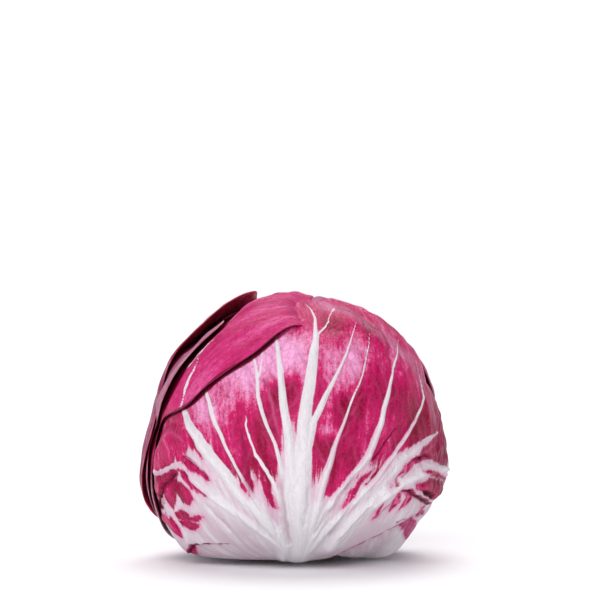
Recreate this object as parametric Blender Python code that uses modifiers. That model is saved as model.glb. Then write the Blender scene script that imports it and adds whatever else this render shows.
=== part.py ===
"""Head of chioggia radicchio, standing on the cut face of its stem.

The head is a dense heart with wrapper leaves folded round it, each one its own solid. Every leaf is a
fan: its white ribs run out from a focus low on the head, and its blade wraps up and over the crown.
A place on the head is a direction from the middle of the belly. On a leaf's fan it is the reach, which
is the angle from the focus, and the bearing, which is the angle from the midrib. The outermost leaf
keeps to the head's outer form, and each leaf under it lies one layer deeper where it is covered.
Sizes are millimetres, and angles degrees, until the last step.
"""

import math
from collections import namedtuple

import bmesh
import bpy
import numpy as np

COLLECTION_NAME = "chioggia_radicchio"
MM = 0.001

# Outer form of the head, measured from the middle of the belly
BELLY_HEIGHT = 38.0
HALF_WIDTH = 59.0
HALF_DEPTH = 57.0
CROWN_RISE = 66.8
UNDERSIDE_DROP = 41.5
CROWN_POWER = 2.1
UNDERSIDE_POWER = 2.35
REST_HEIGHT = 1.5
REST_SHARPNESS = 26.0
LUMP_HEIGHT = 0.9

# Swells and dents of the outer form, by facing, latitude, spread and height
SWELLS = (
    (78.0, -31.0, 36.0, -4.2),
    (-68.0, -48.0, 36.0, 5.0),
    (-75.0, 62.0, 28.0, -1.5),
    (85.0, 60.0, 32.0, -3.0),
)

# Stem, cut flat across
CUT_RADIUS = 14.0
STEM_RADIUS = 14.6
STEM_TOP = 4.8
CUT_BEVEL = 0.6

# Layers of leaves
LEAF_GAP = 1.25
COVER_PAD = 5.5
COVER_FADE = 18.0

# Fan of a leaf
FOCUS_TILT = 31.0
FAN_START = 14.0
FOOT_SPREAD = 15.0
ROOT_TILT = 27.5
PETIOLE_END = 22.0
PINCH_SPREAD = 17.0
CORNER_POWER = 3.2
RIB_SPACING = 1.15
STRAP_ROWS = 2
ROW_BUNCHING = 1.2
COLUMN_WIDTH = 10.5

# Heart
HEART_WRAPS = 5
HEART_STEP = 1.4

# A rib from its root to its tip: bearing, reach, half its width, its rise, how its path bends, and its
# place in the bundle at the petiole
Rib = namedtuple("Rib", "bearing reach width rise bend order")

# A leaf: the way it faces, half the angle of its root and of its blade, the share of that at the foot and
# where the blade is full, the reach and depth of a pinch, the reach of its tip and how far the corners lie
# short of it, its thickness between ribs and what the petiole adds, the lift and ruffle of its margins, its
# ribs, and its rows of facets. Pairs are its two sides, left and right as seen from outside.
Leaf = namedtuple("Leaf", "name facing root half foot full_at pinch tip corner blade petiole lift ruffle"
                          " ribs rows")


def smooth_step(low, high, value):
    """Zero below low, one above high and smooth between."""
    t = np.clip((value - low) / (high - low), 0.0, 1.0)
    return t * t * (3.0 - 2.0 * t)


def angle_from(way, facing, latitude):
    """Degrees between each direction and the one that faces and rises as given."""
    turn, rise = math.radians(facing), math.radians(latitude)
    aim = np.array([math.sin(turn) * math.cos(rise), -math.cos(turn) * math.cos(rise), math.sin(rise)])
    return np.degrees(np.arccos(np.clip(way @ aim, -1.0, 1.0)))


def outer_form(way):
    """Radius of the head's outer form along each direction."""
    x, y, z = way[..., 0], way[..., 1], way[..., 2]
    flat = np.hypot(x / HALF_WIDTH, y / HALF_DEPTH)
    crown = (flat ** CROWN_POWER + np.abs(z / CROWN_RISE) ** CROWN_POWER) ** (-1.0 / CROWN_POWER)
    under = flat ** UNDERSIDE_POWER + np.abs(z / UNDERSIDE_DROP) ** UNDERSIDE_POWER
    under = under ** (-1.0 / UNDERSIDE_POWER)
    lumps = np.sin(4.3 * x + 1.2) * np.cos(3.7 * z - 0.5) + 0.7 * np.sin(5.1 * y - 2.3 * z + 0.6)
    form = np.where(z > 0.0, crown, under) + LUMP_HEIGHT * lumps * smooth_step(-0.75, -0.2, z)
    for facing, latitude, spread, height in SWELLS:
        form = form + height * (1.0 - smooth_step(0.0, spread, angle_from(way, facing, latitude)))
    rest = (BELLY_HEIGHT - REST_HEIGHT) / np.maximum(-z, 0.05)
    return (form ** -REST_SHARPNESS + rest ** -REST_SHARPNESS) ** (-1.0 / REST_SHARPNESS)


def fan_axes(leaf):
    """Focus of the leaf's fan, and the ways along and across its midrib there."""
    turn = math.radians(leaf.facing)
    tilt = math.radians(FOCUS_TILT)
    outward = np.array([math.sin(turn), -math.cos(turn), 0.0])
    down = np.array([0.0, 0.0, -1.0])
    focus = math.sin(tilt) * outward + math.cos(tilt) * down
    along = math.cos(tilt) * outward - math.sin(tilt) * down
    across = np.array([math.cos(turn), math.sin(turn), 0.0])
    return focus, along, across


def fan_way(leaf, reach, bearing):
    """Direction of a place on the leaf's fan."""
    focus, along, across = fan_axes(leaf)
    a = np.radians(reach)[..., None]
    b = np.radians(bearing)[..., None]
    return np.cos(a) * focus + np.sin(a) * (np.cos(b) * along + np.sin(b) * across)


def fan_place(leaf, way):
    """Reach and bearing of each direction on the leaf's fan."""
    focus, along, across = fan_axes(leaf)
    reach = np.degrees(np.arccos(np.clip(way @ focus, -1.0, 1.0)))
    bearing = np.degrees(np.arctan2(way @ across, way @ along))
    return reach, bearing


def half_angle(leaf, reach, bearing):
    """Half angle of the leaf on the bearing's side, narrow at the petiole and pinched once."""
    full = np.where(bearing < 0.0, leaf.half[0], leaf.half[1])
    foot = np.where(bearing < 0.0, leaf.foot[0], leaf.foot[1])
    full_at = np.where(bearing < 0.0, leaf.full_at[0], leaf.full_at[1])
    pinch = leaf.pinch[1] * np.exp(-((reach - leaf.pinch[0]) / PINCH_SPREAD) ** 2)
    return full * (foot + (1.0 - foot) * smooth_step(PETIOLE_END, full_at, reach)) - pinch


def tip_reach(leaf, share):
    """Reach of the upper margin at a share of the half angle."""
    corner = np.where(share < 0.0, leaf.corner[0], leaf.corner[1])
    return leaf.tip - corner * np.abs(share) ** CORNER_POWER


def outside_by(leaf, reach, bearing):
    """Degrees of arc by which a place lies outside the leaf, below zero inside it."""
    half = half_angle(leaf, reach, bearing)
    beside = (np.abs(bearing) - half) * np.sin(np.radians(reach))
    beyond = reach - tip_reach(leaf, np.clip(bearing / half, -1.0, 1.0))
    return np.minimum(np.maximum(beside, beyond), reach - FOOT_SPREAD)


def arc_length(reach, radius):
    """Millimetres in a degree of bearing."""
    return math.radians(1.0) * radius * np.sin(np.radians(np.clip(reach, 8.0, 172.0)))


def rib_share(rib, reach):
    return np.clip((reach - rib.reach[0]) / (rib.reach[1] - rib.reach[0]), 0.0, 1.0)


def rib_bearing(rib, reach, degree):
    """Bearing of a rib at each reach. Near the petiole the ribs run side by side in a bundle."""
    bearing = rib.bearing[0] + (rib.bearing[1] - rib.bearing[0]) * rib_share(rib, reach) ** rib.bend
    bundle = abs(rib.order) * RIB_SPACING / degree
    if rib.order < 0:
        return np.minimum(bearing, -bundle)
    if rib.order > 0:
        return np.maximum(bearing, bundle)
    return bearing


def rib_width(rib, reach):
    return rib.width[0] + (rib.width[1] - rib.width[0]) * rib_share(rib, reach)


def rib_relief(leaf, reach, bearing, radius):
    """Height of the ribs above the blade."""
    relief = np.zeros_like(reach)
    degree = arc_length(reach, radius)
    for rib in leaf.ribs:
        aside = np.abs(bearing - rib_bearing(rib, reach, degree)) * degree
        ridge = 0.5 + 0.5 * np.cos(np.pi * np.clip(aside / (1.3 * rib_width(rib, reach)), 0.0, 1.0))
        rise = rib.rise[0] + (rib.rise[1] - rib.rise[0]) * rib_share(rib, reach)
        begins = smooth_step(rib.reach[0] - 8.0, rib.reach[0] + 4.0, reach)
        ends = 1.0 - smooth_step(rib.reach[1], rib.reach[1] + 14.0, reach)
        relief = np.maximum(relief, rise * ridge * begins * ends)
    return relief


def thickness(leaf, reach, bearing):
    """Thickness of the leaf between its ribs, fleshy along the middle of the petiole."""
    middle = 1.0 - 0.75 * np.clip(np.abs(bearing) / half_angle(leaf, reach, bearing), 0.0, 1.0) ** 2
    return leaf.blade + leaf.petiole * middle * (1.0 - smooth_step(10.0, 62.0, reach))


def margin_lift(leaf, reach, bearing):
    """How far the free margins stand off the leaf under them, with their ruffle."""
    half = half_angle(leaf, reach, bearing)
    beside = (half - np.abs(bearing)) * np.sin(np.radians(reach))
    below = tip_reach(leaf, np.clip(bearing / half, -1.0, 1.0)) - reach
    near = 1.0 - smooth_step(0.0, 14.0, np.minimum(beside, below))
    lift = np.where(bearing < 0.0, leaf.lift[0], leaf.lift[1])
    wave = 0.5 + 0.5 * np.sin(np.radians(8.0 * reach + 5.0 * bearing + leaf.facing))
    return near * smooth_step(40.0, 75.0, reach) * (lift + leaf.ruffle * wave)


def layer_under(leaves, way):
    """Radius of the ceiling under the given outer leaves, and how far they cover each direction."""
    ceiling = outer_form(way)
    covered = np.zeros(way.shape[:-1])
    for leaf in leaves:
        reach, bearing = fan_place(leaf, way)
        cover = 1.0 - smooth_step(COVER_PAD, COVER_PAD + COVER_FADE, outside_by(leaf, reach, bearing))
        ceiling = ceiling - cover * (thickness(leaf, reach, bearing) + LEAF_GAP)
        covered = 1.0 - (1.0 - covered) * (1.0 - cover)
    return ceiling, covered


def leaf_faces(leaf, outer_leaves, way):
    """Radii of the inner and outer face of the leaf along each direction."""
    ceiling, covered = layer_under(outer_leaves, way)
    reach, bearing = fan_place(leaf, way)
    free = 1.0 - covered
    blade = ceiling + free * margin_lift(leaf, reach, bearing)
    underneath = 1.0 - 0.75 * smooth_step(0.55, 0.85, -way[..., 2])
    relief = rib_relief(leaf, reach, bearing, ceiling) * free * underneath
    return blade - thickness(leaf, reach, bearing), blade + relief


def column_knots(leaf, reach):
    """Bearings of both margins and of the main rib crests at each reach, and the rib feet beside them."""
    degree = arc_length(reach, HALF_WIDTH)
    main = sorted((rib for rib in leaf.ribs if rib.reach[0] < 40.0), key=lambda rib: rib.order)
    knots = [-half_angle(leaf, reach, -np.ones_like(reach))]
    feet = [np.zeros_like(reach)]
    for rib in main:
        knots.append(rib_bearing(rib, reach, degree))
        feet.append(1.3 * rib_width(rib, reach) / degree)
    knots.append(half_angle(leaf, reach, np.ones_like(reach)))
    feet.append(np.zeros_like(reach))
    return knots, feet


def blade_columns(leaf):
    """Number of columns of blade between neighbouring knots, so that none is too wide."""
    reach = np.array([60.0, 85.0, 110.0])
    knots, feet = column_knots(leaf, reach)
    counts = []
    for i in range(len(knots) - 1):
        blade = (knots[i + 1] - knots[i] - feet[i] - feet[i + 1]) * arc_length(reach, HALF_WIDTH)
        counts.append(max(1, math.ceil(blade.max() / COLUMN_WIDTH)))
    return counts


def column_bearings(leaf, reach):
    """Bearings of a leaf's columns at each reach: margins, rib crests, rib feet and blade between."""
    knots, feet = column_knots(leaf, reach)
    counts = blade_columns(leaf)
    columns = []
    for i, count in enumerate(counts):
        gap = knots[i + 1] - knots[i]
        near = np.clip(feet[i] / gap, 0.0, 0.36)
        far = 1.0 - np.clip(feet[i + 1] / gap, 0.0, 0.36)
        columns.append(knots[i])
        if i > 0:
            columns.append(knots[i] + near * gap)
        for j in range(1, count):
            columns.append(knots[i] + (near + (far - near) * j / count) * gap)
        if i < len(counts) - 1:
            columns.append(knots[i] + far * gap)
    columns.append(knots[-1])
    return columns


def leaf_way(leaf, column, row):
    """Directions of a leaf's grid points, given by column number and row number."""
    along = np.clip((row - STRAP_ROWS) / (leaf.rows - STRAP_ROWS), 0.0, 1.0) ** ROW_BUNCHING
    reach = FAN_START + along * (leaf.tip - FAN_START)
    for _ in range(4):
        columns = np.stack(column_bearings(leaf, reach))
        bearing = np.take_along_axis(columns, column[None], axis=0)[0]
        share = np.clip(bearing / half_angle(leaf, reach, bearing), -1.0, 1.0)
        reach = FAN_START + along * (tip_reach(leaf, share) - FAN_START)
    way = fan_way(leaf, reach, bearing)
    last = len(columns) - 1
    turn = np.radians(leaf.facing + leaf.root * (2.0 * column / last - 1.0))
    tilt = math.radians(ROOT_TILT)
    root = np.stack([math.sin(tilt) * np.sin(turn), -math.sin(tilt) * np.cos(turn),
                     np.full(turn.shape, -math.cos(tilt))], axis=-1)
    strap = np.clip(row / STRAP_ROWS, 0.0, 1.0)[:, None]
    way = root + (way - root) * strap
    return way / np.linalg.norm(way, axis=-1, keepdims=True)


def place_in_head(way, radius):
    """Points at the given radii from the middle of the belly."""
    points = way * np.asarray(radius)[..., None]
    points[..., 2] += BELLY_HEIGHT
    return points * MM


def finished_object(name, mesh_builder, material, collection):
    """An object of the given name from a bmesh, shaded smooth."""
    bmesh.ops.recalc_face_normals(mesh_builder, faces=mesh_builder.faces)
    mesh = bpy.data.meshes.new(name)
    mesh_builder.to_mesh(mesh)
    mesh_builder.free()
    mesh.shade_smooth()
    mesh.materials.append(material)
    solid = bpy.data.objects.new(name, mesh)
    collection.objects.link(solid)
    return solid


def plain_material(name, colour, roughness):
    material = bpy.data.materials.new(name)
    material.use_nodes = True
    shader = material.node_tree.nodes["Principled BSDF"]
    shader.inputs["Base Color"].default_value = (*colour, 1.0)
    shader.inputs["Roughness"].default_value = roughness
    shader.inputs["Metallic"].default_value = 0.0
    return material


def make_leaf(leaf, outer_leaves, material, collection):
    """One leaf: a grid laid out along its ribs as the outer face, and the inner face extruded from it."""
    last_column = len(column_bearings(leaf, np.array([90.0]))) - 1
    builder = bmesh.new()
    bmesh.ops.create_grid(builder, x_segments=last_column, y_segments=leaf.rows, size=1.0)
    outer = list(builder.verts)
    column = np.array([round((v.co.x + 1.0) * last_column / 2.0) for v in outer])
    row = np.array([round((v.co.y + 1.0) * leaf.rows / 2.0) for v in outer])
    way = leaf_way(leaf, column, row)
    inner_radius, outer_radius = leaf_faces(leaf, outer_leaves, way)
    for v, point in zip(outer, place_in_head(way, outer_radius)):
        v.co = point
    bmesh.ops.triangulate(builder, faces=builder.faces, quad_method="SHORT_EDGE")
    inner_place = {tuple(v.co): point for v, point in zip(outer, place_in_head(way, inner_radius))}
    extruded = bmesh.ops.extrude_face_region(builder, geom=builder.faces[:], use_keep_orig=True)
    for v in extruded["geom"]:
        if isinstance(v, bmesh.types.BMVert):
            v.co = inner_place[tuple(v.co)]
    bmesh.ops.triangulate(builder, faces=builder.faces)
    return finished_object(leaf.name, builder, material, collection)


def make_heart(leaves, material, collection):
    """The packed inner leaves: they wrap past each other in steps and stand on the stem."""
    builder = bmesh.new()
    bmesh.ops.create_uvsphere(builder, u_segments=32, v_segments=18, radius=1.0)
    way = np.array([v.co.normalized() for v in builder.verts])
    ceiling, _ = layer_under(leaves, way)
    turn = np.arctan2(way[:, 0], -way[:, 1]) / (2.0 * math.pi)
    wrap = (HEART_WRAPS * turn + 0.9 * way[:, 2]) % 1.0
    upright = smooth_step(0.0, 0.25, np.hypot(way[:, 0], way[:, 1]))
    points = place_in_head(way, ceiling - LEAF_GAP - HEART_STEP * wrap * upright)
    points[:, 2] = np.maximum(points[:, 2], (STEM_TOP + 0.35) * MM)
    for v, point in zip(builder.verts, points):
        v.co = point
    bmesh.ops.triangulate(builder, faces=builder.faces)
    return finished_object("heart", builder, material, collection)


def make_stem(material, collection):
    """The stem: a turned stub with a bevelled cut face, which the head stands on."""
    outline = [(0.0, STEM_TOP), (STEM_RADIUS, STEM_TOP), (CUT_RADIUS, CUT_BEVEL),
               (CUT_RADIUS - CUT_BEVEL, 0.0), (0.0, 0.0)]
    mesh = bpy.data.meshes.new("stem_butt")
    points = [(radius * MM, 0.0, height * MM) for radius, height in outline]
    mesh.from_pydata(points, [(i, i + 1) for i in range(len(points) - 1)], [])
    stem = bpy.data.objects.new("stem_butt", mesh)
    collection.objects.link(stem)
    mesh.materials.append(material)
    turned = stem.modifiers.new("turned", "SCREW")
    turned.steps = 32
    turned.render_steps = 32
    turned.use_merge_vertices = True
    turned.merge_threshold = 0.00001
    turned.use_smooth_shade = True
    return stem


def side_ribs(tip, half, count, twist):
    """Midrib and side ribs of a wrapper leaf, evenly fanned, each side twisted a little."""
    ribs = [Rib((0.0, twist), (5.0, tip - 12.0), (4.6, 0.5), (2.2, 0.4), 0.8, 0)]
    for side in (-1, 1):
        for i in range(1, count + 1):
            share = i / (count + 0.45)
            bearing = side * half * share + twist * (1.0 - share)
            reach = (8.0 + 2.0 * i, tip - 22.0 - 9.0 * i)
            ribs.append(Rib((0.0, bearing), reach, (2.6, 0.6), (1.7, 0.35), 0.8, side * i))
    return tuple(ribs)


# The front leaf, with every rib where it shows
FRONT_RIBS = (
    Rib((0.0, 9.0), (5.0, 130.0), (5.6, 0.8), (2.4, 0.5), 1.9, 0),
    Rib((0.0, -16.0), (38.0, 108.0), (2.2, 0.8), (1.6, 0.6), 1.0, -1),
    Rib((0.0, -37.0), (30.0, 102.0), (2.4, 0.8), (1.6, 0.5), 0.62, -2),
    Rib((0.0, -52.0), (22.0, 102.0), (3.0, 1.9), (2.2, 1.0), 0.7, -3),
    Rib((0.0, -64.0), (14.0, 84.0), (2.8, 1.8), (2.0, 1.0), 0.95, -4),
    Rib((0.0, 32.0), (28.0, 122.0), (2.2, 0.5), (1.5, 0.35), 1.0, 1),
    Rib((0.0, 44.0), (10.0, 116.0), (2.8, 1.1), (2.0, 0.7), 0.85, 2),
    Rib((0.0, 58.0), (6.0, 108.0), (2.4, 0.7), (1.8, 0.45), 0.7, 3),
    Rib((30.0, 92.0), (25.0, 87.0), (3.0, 2.6), (2.2, 1.4), 2.3, 4),
    Rib((-1.0, -8.0), (52.0, 118.0), (1.8, 1.1), (1.4, 0.7), 1.2, -1),
    Rib((4.0, 27.0), (62.0, 123.0), (1.3, 0.5), (1.1, 0.4), 1.4, 1),
)


def wrapper(name, facing, half, tip, twist, root=22.0, foot=0.7, pinch=(80.0, 0.0), corner=(30.0, 30.0),
            lift=(0.6, 0.6), ruffle=0.6, rows=14, count=2):
    """A wrapper leaf of the common kind."""
    return Leaf(name=name, facing=facing, root=root, half=half, foot=(foot, foot), full_at=(58.0, 58.0),
                pinch=pinch, tip=tip, corner=corner, blade=0.75, petiole=1.6, lift=lift, ruffle=ruffle,
                ribs=side_ribs(tip, min(half), count, twist), rows=rows)


def inner_leaf(name, facing, half, tip, twist, root=34.0, corner=(30.0, 30.0)):
    """A leaf under the wrappers, its foot spread wide round the stem."""
    return wrapper(name, facing, half, tip, twist, root=root, foot=1.5, corner=corner, rows=15, count=1)


# From the outermost leaf to the innermost
LEAVES = (
    wrapper("outer_left_leaf", -165.0, half=(66.0, 85.0), tip=141.0, twist=4.0, pinch=(96.0, 3.0),
            corner=(35.0, 45.0), lift=(0.8, 1.4), ruffle=0.7),
    wrapper("left_leaf_b", -145.0, half=(60.0, 69.0), tip=152.0, twist=-3.0, pinch=(90.0, 4.0),
            corner=(40.0, 55.0), lift=(0.0, 1.2), ruffle=0.7),
    wrapper("right_leaf", 140.0, half=(44.0, 60.0), tip=134.0, twist=-4.0, foot=0.8, pinch=(86.0, 4.0),
            corner=(30.0, 34.0), lift=(0.6, 0.0)),
    wrapper("left_leaf_a", -125.0, half=(62.0, 70.0), tip=158.0, twist=3.0, foot=0.8, pinch=(80.0, 17.0),
            corner=(30.0, 7.0), lift=(0.0, 0.9), ruffle=0.4),
    Leaf(name="front_leaf", facing=0.0, root=27.0, half=(100.0, 98.0), foot=(0.3, 0.5), full_at=(54.0, 92.0),
         pinch=(80.0, 0.0), tip=141.0, corner=(30.0, 24.0), blade=0.8, petiole=2.0, lift=(0.0, 0.4),
         ruffle=0.3, ribs=FRONT_RIBS, rows=18),
    inner_leaf("inner_back_leaf", 165.0, half=(64.0, 64.0), tip=150.0, twist=2.0, root=26.0),
    inner_leaf("inner_left_leaf", -78.0, half=(66.0, 62.0), tip=152.0, twist=-3.0, corner=(34.0, 30.0)),
    inner_leaf("inner_right_leaf", 66.0, half=(64.0, 66.0), tip=154.0, twist=4.0, corner=(30.0, 34.0)),
)

# Colours by eye, in linear values
LEAF_COLOURS = {
    "outer_left_leaf": (0.22, 0.02, 0.09),
    "left_leaf_b": (0.36, 0.07, 0.2),
    "left_leaf_a": (0.55, 0.05, 0.2),
    "right_leaf": (0.5, 0.06, 0.22),
    "front_leaf": (0.6, 0.05, 0.22),
    "inner_back_leaf": (0.5, 0.04, 0.16),
    "inner_left_leaf": (0.75, 0.6, 0.68),
    "inner_right_leaf": (0.78, 0.62, 0.68),
}
HEART_COLOUR = (0.62, 0.2, 0.32)
STEM_COLOUR = (0.72, 0.62, 0.45)


def main():
    for old in list(bpy.data.objects):
        bpy.data.objects.remove(old)
    collection = bpy.data.collections.new(COLLECTION_NAME)
    bpy.context.scene.collection.children.link(collection)
    for i, leaf in enumerate(LEAVES):
        material = plain_material(leaf.name + "_colour", LEAF_COLOURS[leaf.name], 0.4)
        make_leaf(leaf, LEAVES[:i], material, collection)
    make_heart(LEAVES, plain_material("heart_colour", HEART_COLOUR, 0.45), collection)
    make_stem(plain_material("stem_colour", STEM_COLOUR, 0.7), collection)


main()
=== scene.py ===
"""Chioggia radicchio head: fine leaves with white ribs and satin magenta blade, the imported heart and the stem.

Each leaf is a fan. A place on it is the reach, the angle from the fan's focus low on the head, and the
bearing, the angle from the midrib. Sizes in the formulas are millimetres and degrees.
"""

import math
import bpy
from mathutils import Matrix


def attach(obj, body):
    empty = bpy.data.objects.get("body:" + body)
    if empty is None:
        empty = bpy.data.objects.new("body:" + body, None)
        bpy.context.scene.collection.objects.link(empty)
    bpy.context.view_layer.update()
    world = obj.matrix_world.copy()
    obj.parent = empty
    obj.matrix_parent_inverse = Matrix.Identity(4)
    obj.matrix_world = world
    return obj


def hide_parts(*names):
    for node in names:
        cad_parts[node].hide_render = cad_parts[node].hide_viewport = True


bl_info = {
    "name": "Chioggia radicchio head",
    "version": (1, 0, 0),
    "blender": (4, 5, 0),
    "location": "View3D > Sidebar > Radicchio",
    "description": "Dresses a head of red chicory with fine leaves, ribs, veins and a plain stage",
    "category": "Object",
}

from collections import namedtuple
from functools import partial

import bmesh
import bpy
import numpy as np
from mathutils import Vector

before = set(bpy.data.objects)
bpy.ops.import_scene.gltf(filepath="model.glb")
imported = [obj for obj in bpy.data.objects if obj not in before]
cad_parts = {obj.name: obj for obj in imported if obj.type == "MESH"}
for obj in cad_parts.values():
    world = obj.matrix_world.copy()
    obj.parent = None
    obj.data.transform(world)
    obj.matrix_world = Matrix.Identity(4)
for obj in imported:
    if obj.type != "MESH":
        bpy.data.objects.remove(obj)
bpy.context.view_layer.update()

MM = 0.001
DEGREE_MM = 1.03

# Outer form of the head, measured from the middle of the belly
BELLY_HEIGHT = 38.0
HALF_WIDTH = 59.0
HALF_DEPTH = 57.0
CROWN_RISE = 66.8
UNDERSIDE_DROP = 41.5
CROWN_POWER = 2.1
UNDERSIDE_POWER = 2.35
REST_HEIGHT = 1.5
REST_SHARPNESS = 26.0
LUMP_HEIGHT = 0.9

# Swells and dents of the outer form, by facing, latitude, spread and height
SWELLS = (
    (78.0, -31.0, 36.0, -4.2),
    (-68.0, -48.0, 36.0, 4.4),
    (-78.0, 54.0, 28.0, -3.5),
    (85.0, 66.0, 32.0, -0.5),
    (70.0, -52.0, 22.0, 3.0),
    (-86.0, -14.0, 36.0, 1.5),
    (76.0, -40.0, 15.0, 3.2),
    (-84.0, 41.0, 15.0, 2.4),
    (-88.0, 18.0, 13.0, -1.4),
)

# Upper margins that fall away to one side: the shares of the half angle between which they fall, and how far
TIP_SLANTS = {"outer_left_leaf": (0.25, 0.0, 26.0), "left_leaf_b": (0.72, 0.3, 26.0),
              "left_leaf_a": (0.14, -0.4, 20.0)}

# Shares of their lift that margins have at each reach
LIFT_SHARES = {
    "outer_left_leaf": ((44.0, 58.0, 68.0, 80.0, 90.0, 112.0, 121.0, 131.0),
                        (0.0, 0.05, 0.3, 0.1, -0.14, -0.14, 0.2, 1.0)),
    "left_leaf_b": ((44.0, 60.0, 80.0, 94.0, 104.0, 116.0, 132.0), (0.0, -0.2, -0.2, -0.1, 0.8, 0.8, 0.2)),
}
COMMON_LIFT_SHARES = ((40.0, 50.0, 60.0, 75.0), (0.0, 0.2, 0.65, 1.0))

# Stem, cut flat across
CUT_RADIUS = 14.0
STEM_RADIUS = 14.6
STEM_TOP = 4.8
CUT_BEVEL = 0.6

# Layers of leaves
LEAF_GAP = 0.7
COVER_PAD = 2.5
COVER_FADE = 12.0

# Fan of a leaf
FOCUS_TILT = 31.0
FAN_START = 14.0
FOOT_SPREAD = 15.0
ROOT_TILT = 27.5
PETIOLE_END = 22.0
CORNER_POWER = 3.2
RIB_SPACING = 1.15
STRAP_SHARE = 0.06
ROW_BUNCHING = 1.1

# Margins of a leaf: how far in they lift or thin out, and where they lie hidden or pressed down
MARGIN_ZONE = 14.0
THIN_MARGIN = 4.0
HIDDEN_FADE = 2.5
PRESSED_LENGTH = 8.0
PRESSED_DEPTH = 2.6
INNER_STRIDE = 4

# Marks on a leaf: the value far outside one, the millimetres that are far from a rib, and the half width below
# which a line's edge is sharpened so that it still shows
FAR_OUTSIDE = -9.0
FAR_CLEAR = 30.0
FINE_LINE = 0.9

# Heart
HEART_WRAPS = 5
HEART_STEP = 1.4

# Camera: the photo's framing, with the lens in millimetres and places in metres
LENS_LENGTH = 137.3
SENSOR_WIDTH = 36.0
CAMERA_RISE = 3.2
HEAD_MIDDLE = (0.0016, 0.0, 0.052)
AIM = (0.0016, 0.0, 0.101)

# Soft lights, by how far round and how high they stand, their spread and their strength
STUDIO_LIGHTS = (
    ("back_left_high", -140.0, 68.0, 30.0, 0.62),
    ("back_right_high", 140.0, 68.0, 30.0, 0.62),
    ("back_left_low", -166.0, 50.0, 28.0, 0.6),
    ("back_right_low", 166.0, 50.0, 28.0, 0.6),
    ("soft_front", -16.0, 33.0, 62.0, 1.95),
)

# Colours that all leaves share, some of them painted sheen and painted shade
NET_ON_PALE, NET_ON_DEEP = "#8A1650", "#BE3C76"
VEIN_ON_PALE, VEIN_ON_DEEP = "#96205A", "#DC6A9C"
# The greyed band colour is painted sheen
PAINTED_SHEEN_GREY, GREYED_BLADE = "#B884A0", "#A0708C"
FLECK = "#74002E"
# The colour between the ribs is painted shade in the valleys of the white base
BETWEEN_RIBS_SHADE, RIB_FIBRE, BLUSH = "#CAB6C3", "#D0B6C8", "#D492B6"
# Painted shade: a dark red for grooves, creases, sunk pockets, leaf margins and the far right side, and a deeper one
# for the darkest creases
WINE_SHADE, DEEP_CREASE_SHADE = "#98104A", "#4E0419"
LINING_BASE, LINING_FIBRE = "#C9A3B2", "#A84C6C"

Leaf = namedtuple("Leaf", "name facing root half foot full_at pinches tip corner blade petiole lift ruffle"
                          " ribs grid")

# A rib: its bearing at both ends or its path as reach and bearing, its reach at both ends, its half widths at
# even steps, its rise at both ends, how it bends, and its place in the bundle at the petiole
Rib = namedtuple("Rib", "bearing reach width rise bend order")

# A vein or groove: its path as reach and bearing, half its width at each end, its rise, below zero for a groove,
# how far its colour goes to white, and how dark the painted shade in a groove is
Line = namedtuple("Line", "path width rise white wine")

# A fold line: the leaf stands up on the path's left, fading back over a length, and drops on its right; the
# crease at its foot gets painted shade
Fold = namedtuple("Fold", "path height back wine")

# A patch by its outline, with how far it stands up and its colour: "white", "magenta", "blade" for magenta that
# leaves the ribs white, and a fourth kind for a sunk pocket filled with painted dark red shade
Zone = namedtuple("Zone", "kind height outline")


def smooth_step(low, high, value):
    """Zero below low, one above high and smooth between."""
    t = np.clip((value - low) / (high - low), 0.0, 1.0)
    return t * t * (3.0 - 2.0 * t)


def angle_from(way, facing, latitude):
    """Degrees between each direction and the one that faces and rises as given."""
    turn, rise = math.radians(facing), math.radians(latitude)
    aim = np.array([math.sin(turn) * math.cos(rise), -math.cos(turn) * math.cos(rise), math.sin(rise)])
    return np.degrees(np.arccos(np.clip(way @ aim, -1.0, 1.0)))


def outer_form(way):
    """Radius of the head's outer form along each direction."""
    x, y, z = way[..., 0], way[..., 1], way[..., 2]
    flat = np.hypot(x / HALF_WIDTH, y / HALF_DEPTH)
    crown = (flat ** CROWN_POWER + np.abs(z / CROWN_RISE) ** CROWN_POWER) ** (-1.0 / CROWN_POWER)
    under = flat ** UNDERSIDE_POWER + np.abs(z / UNDERSIDE_DROP) ** UNDERSIDE_POWER
    under = under ** (-1.0 / UNDERSIDE_POWER)
    lumps = np.sin(4.3 * x + 1.2) * np.cos(3.7 * z - 0.5) + 0.7 * np.sin(5.1 * y - 2.3 * z + 0.6)
    form = np.where(z > 0.0, crown, under) + LUMP_HEIGHT * lumps * smooth_step(-0.75, -0.2, z)
    for facing, latitude, spread, height in SWELLS:
        form = form + height * (1.0 - smooth_step(0.0, spread, angle_from(way, facing, latitude)))
    rest = (BELLY_HEIGHT - REST_HEIGHT) / np.maximum(-z, 0.05)
    return (form ** -REST_SHARPNESS + rest ** -REST_SHARPNESS) ** (-1.0 / REST_SHARPNESS)


def fan_axes(leaf):
    """Focus of the leaf's fan, and the ways along and across its midrib there."""
    turn = math.radians(leaf.facing)
    tilt = math.radians(FOCUS_TILT)
    outward = np.array([math.sin(turn), -math.cos(turn), 0.0])
    down = np.array([0.0, 0.0, -1.0])
    focus = math.sin(tilt) * outward + math.cos(tilt) * down
    along = math.cos(tilt) * outward - math.sin(tilt) * down
    across = np.array([math.cos(turn), math.sin(turn), 0.0])
    return focus, along, across


def fan_way(leaf, reach, bearing):
    """Direction of a place on the leaf's fan."""
    focus, along, across = fan_axes(leaf)
    a = np.radians(reach)[..., None]
    b = np.radians(bearing)[..., None]
    return np.cos(a) * focus + np.sin(a) * (np.cos(b) * along + np.sin(b) * across)


def fan_place(leaf, way):
    """Reach and bearing of each direction on the leaf's fan."""
    focus, along, across = fan_axes(leaf)
    reach = np.degrees(np.arccos(np.clip(way @ focus, -1.0, 1.0)))
    bearing = np.degrees(np.arctan2(way @ across, way @ along))
    return reach, bearing


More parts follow.
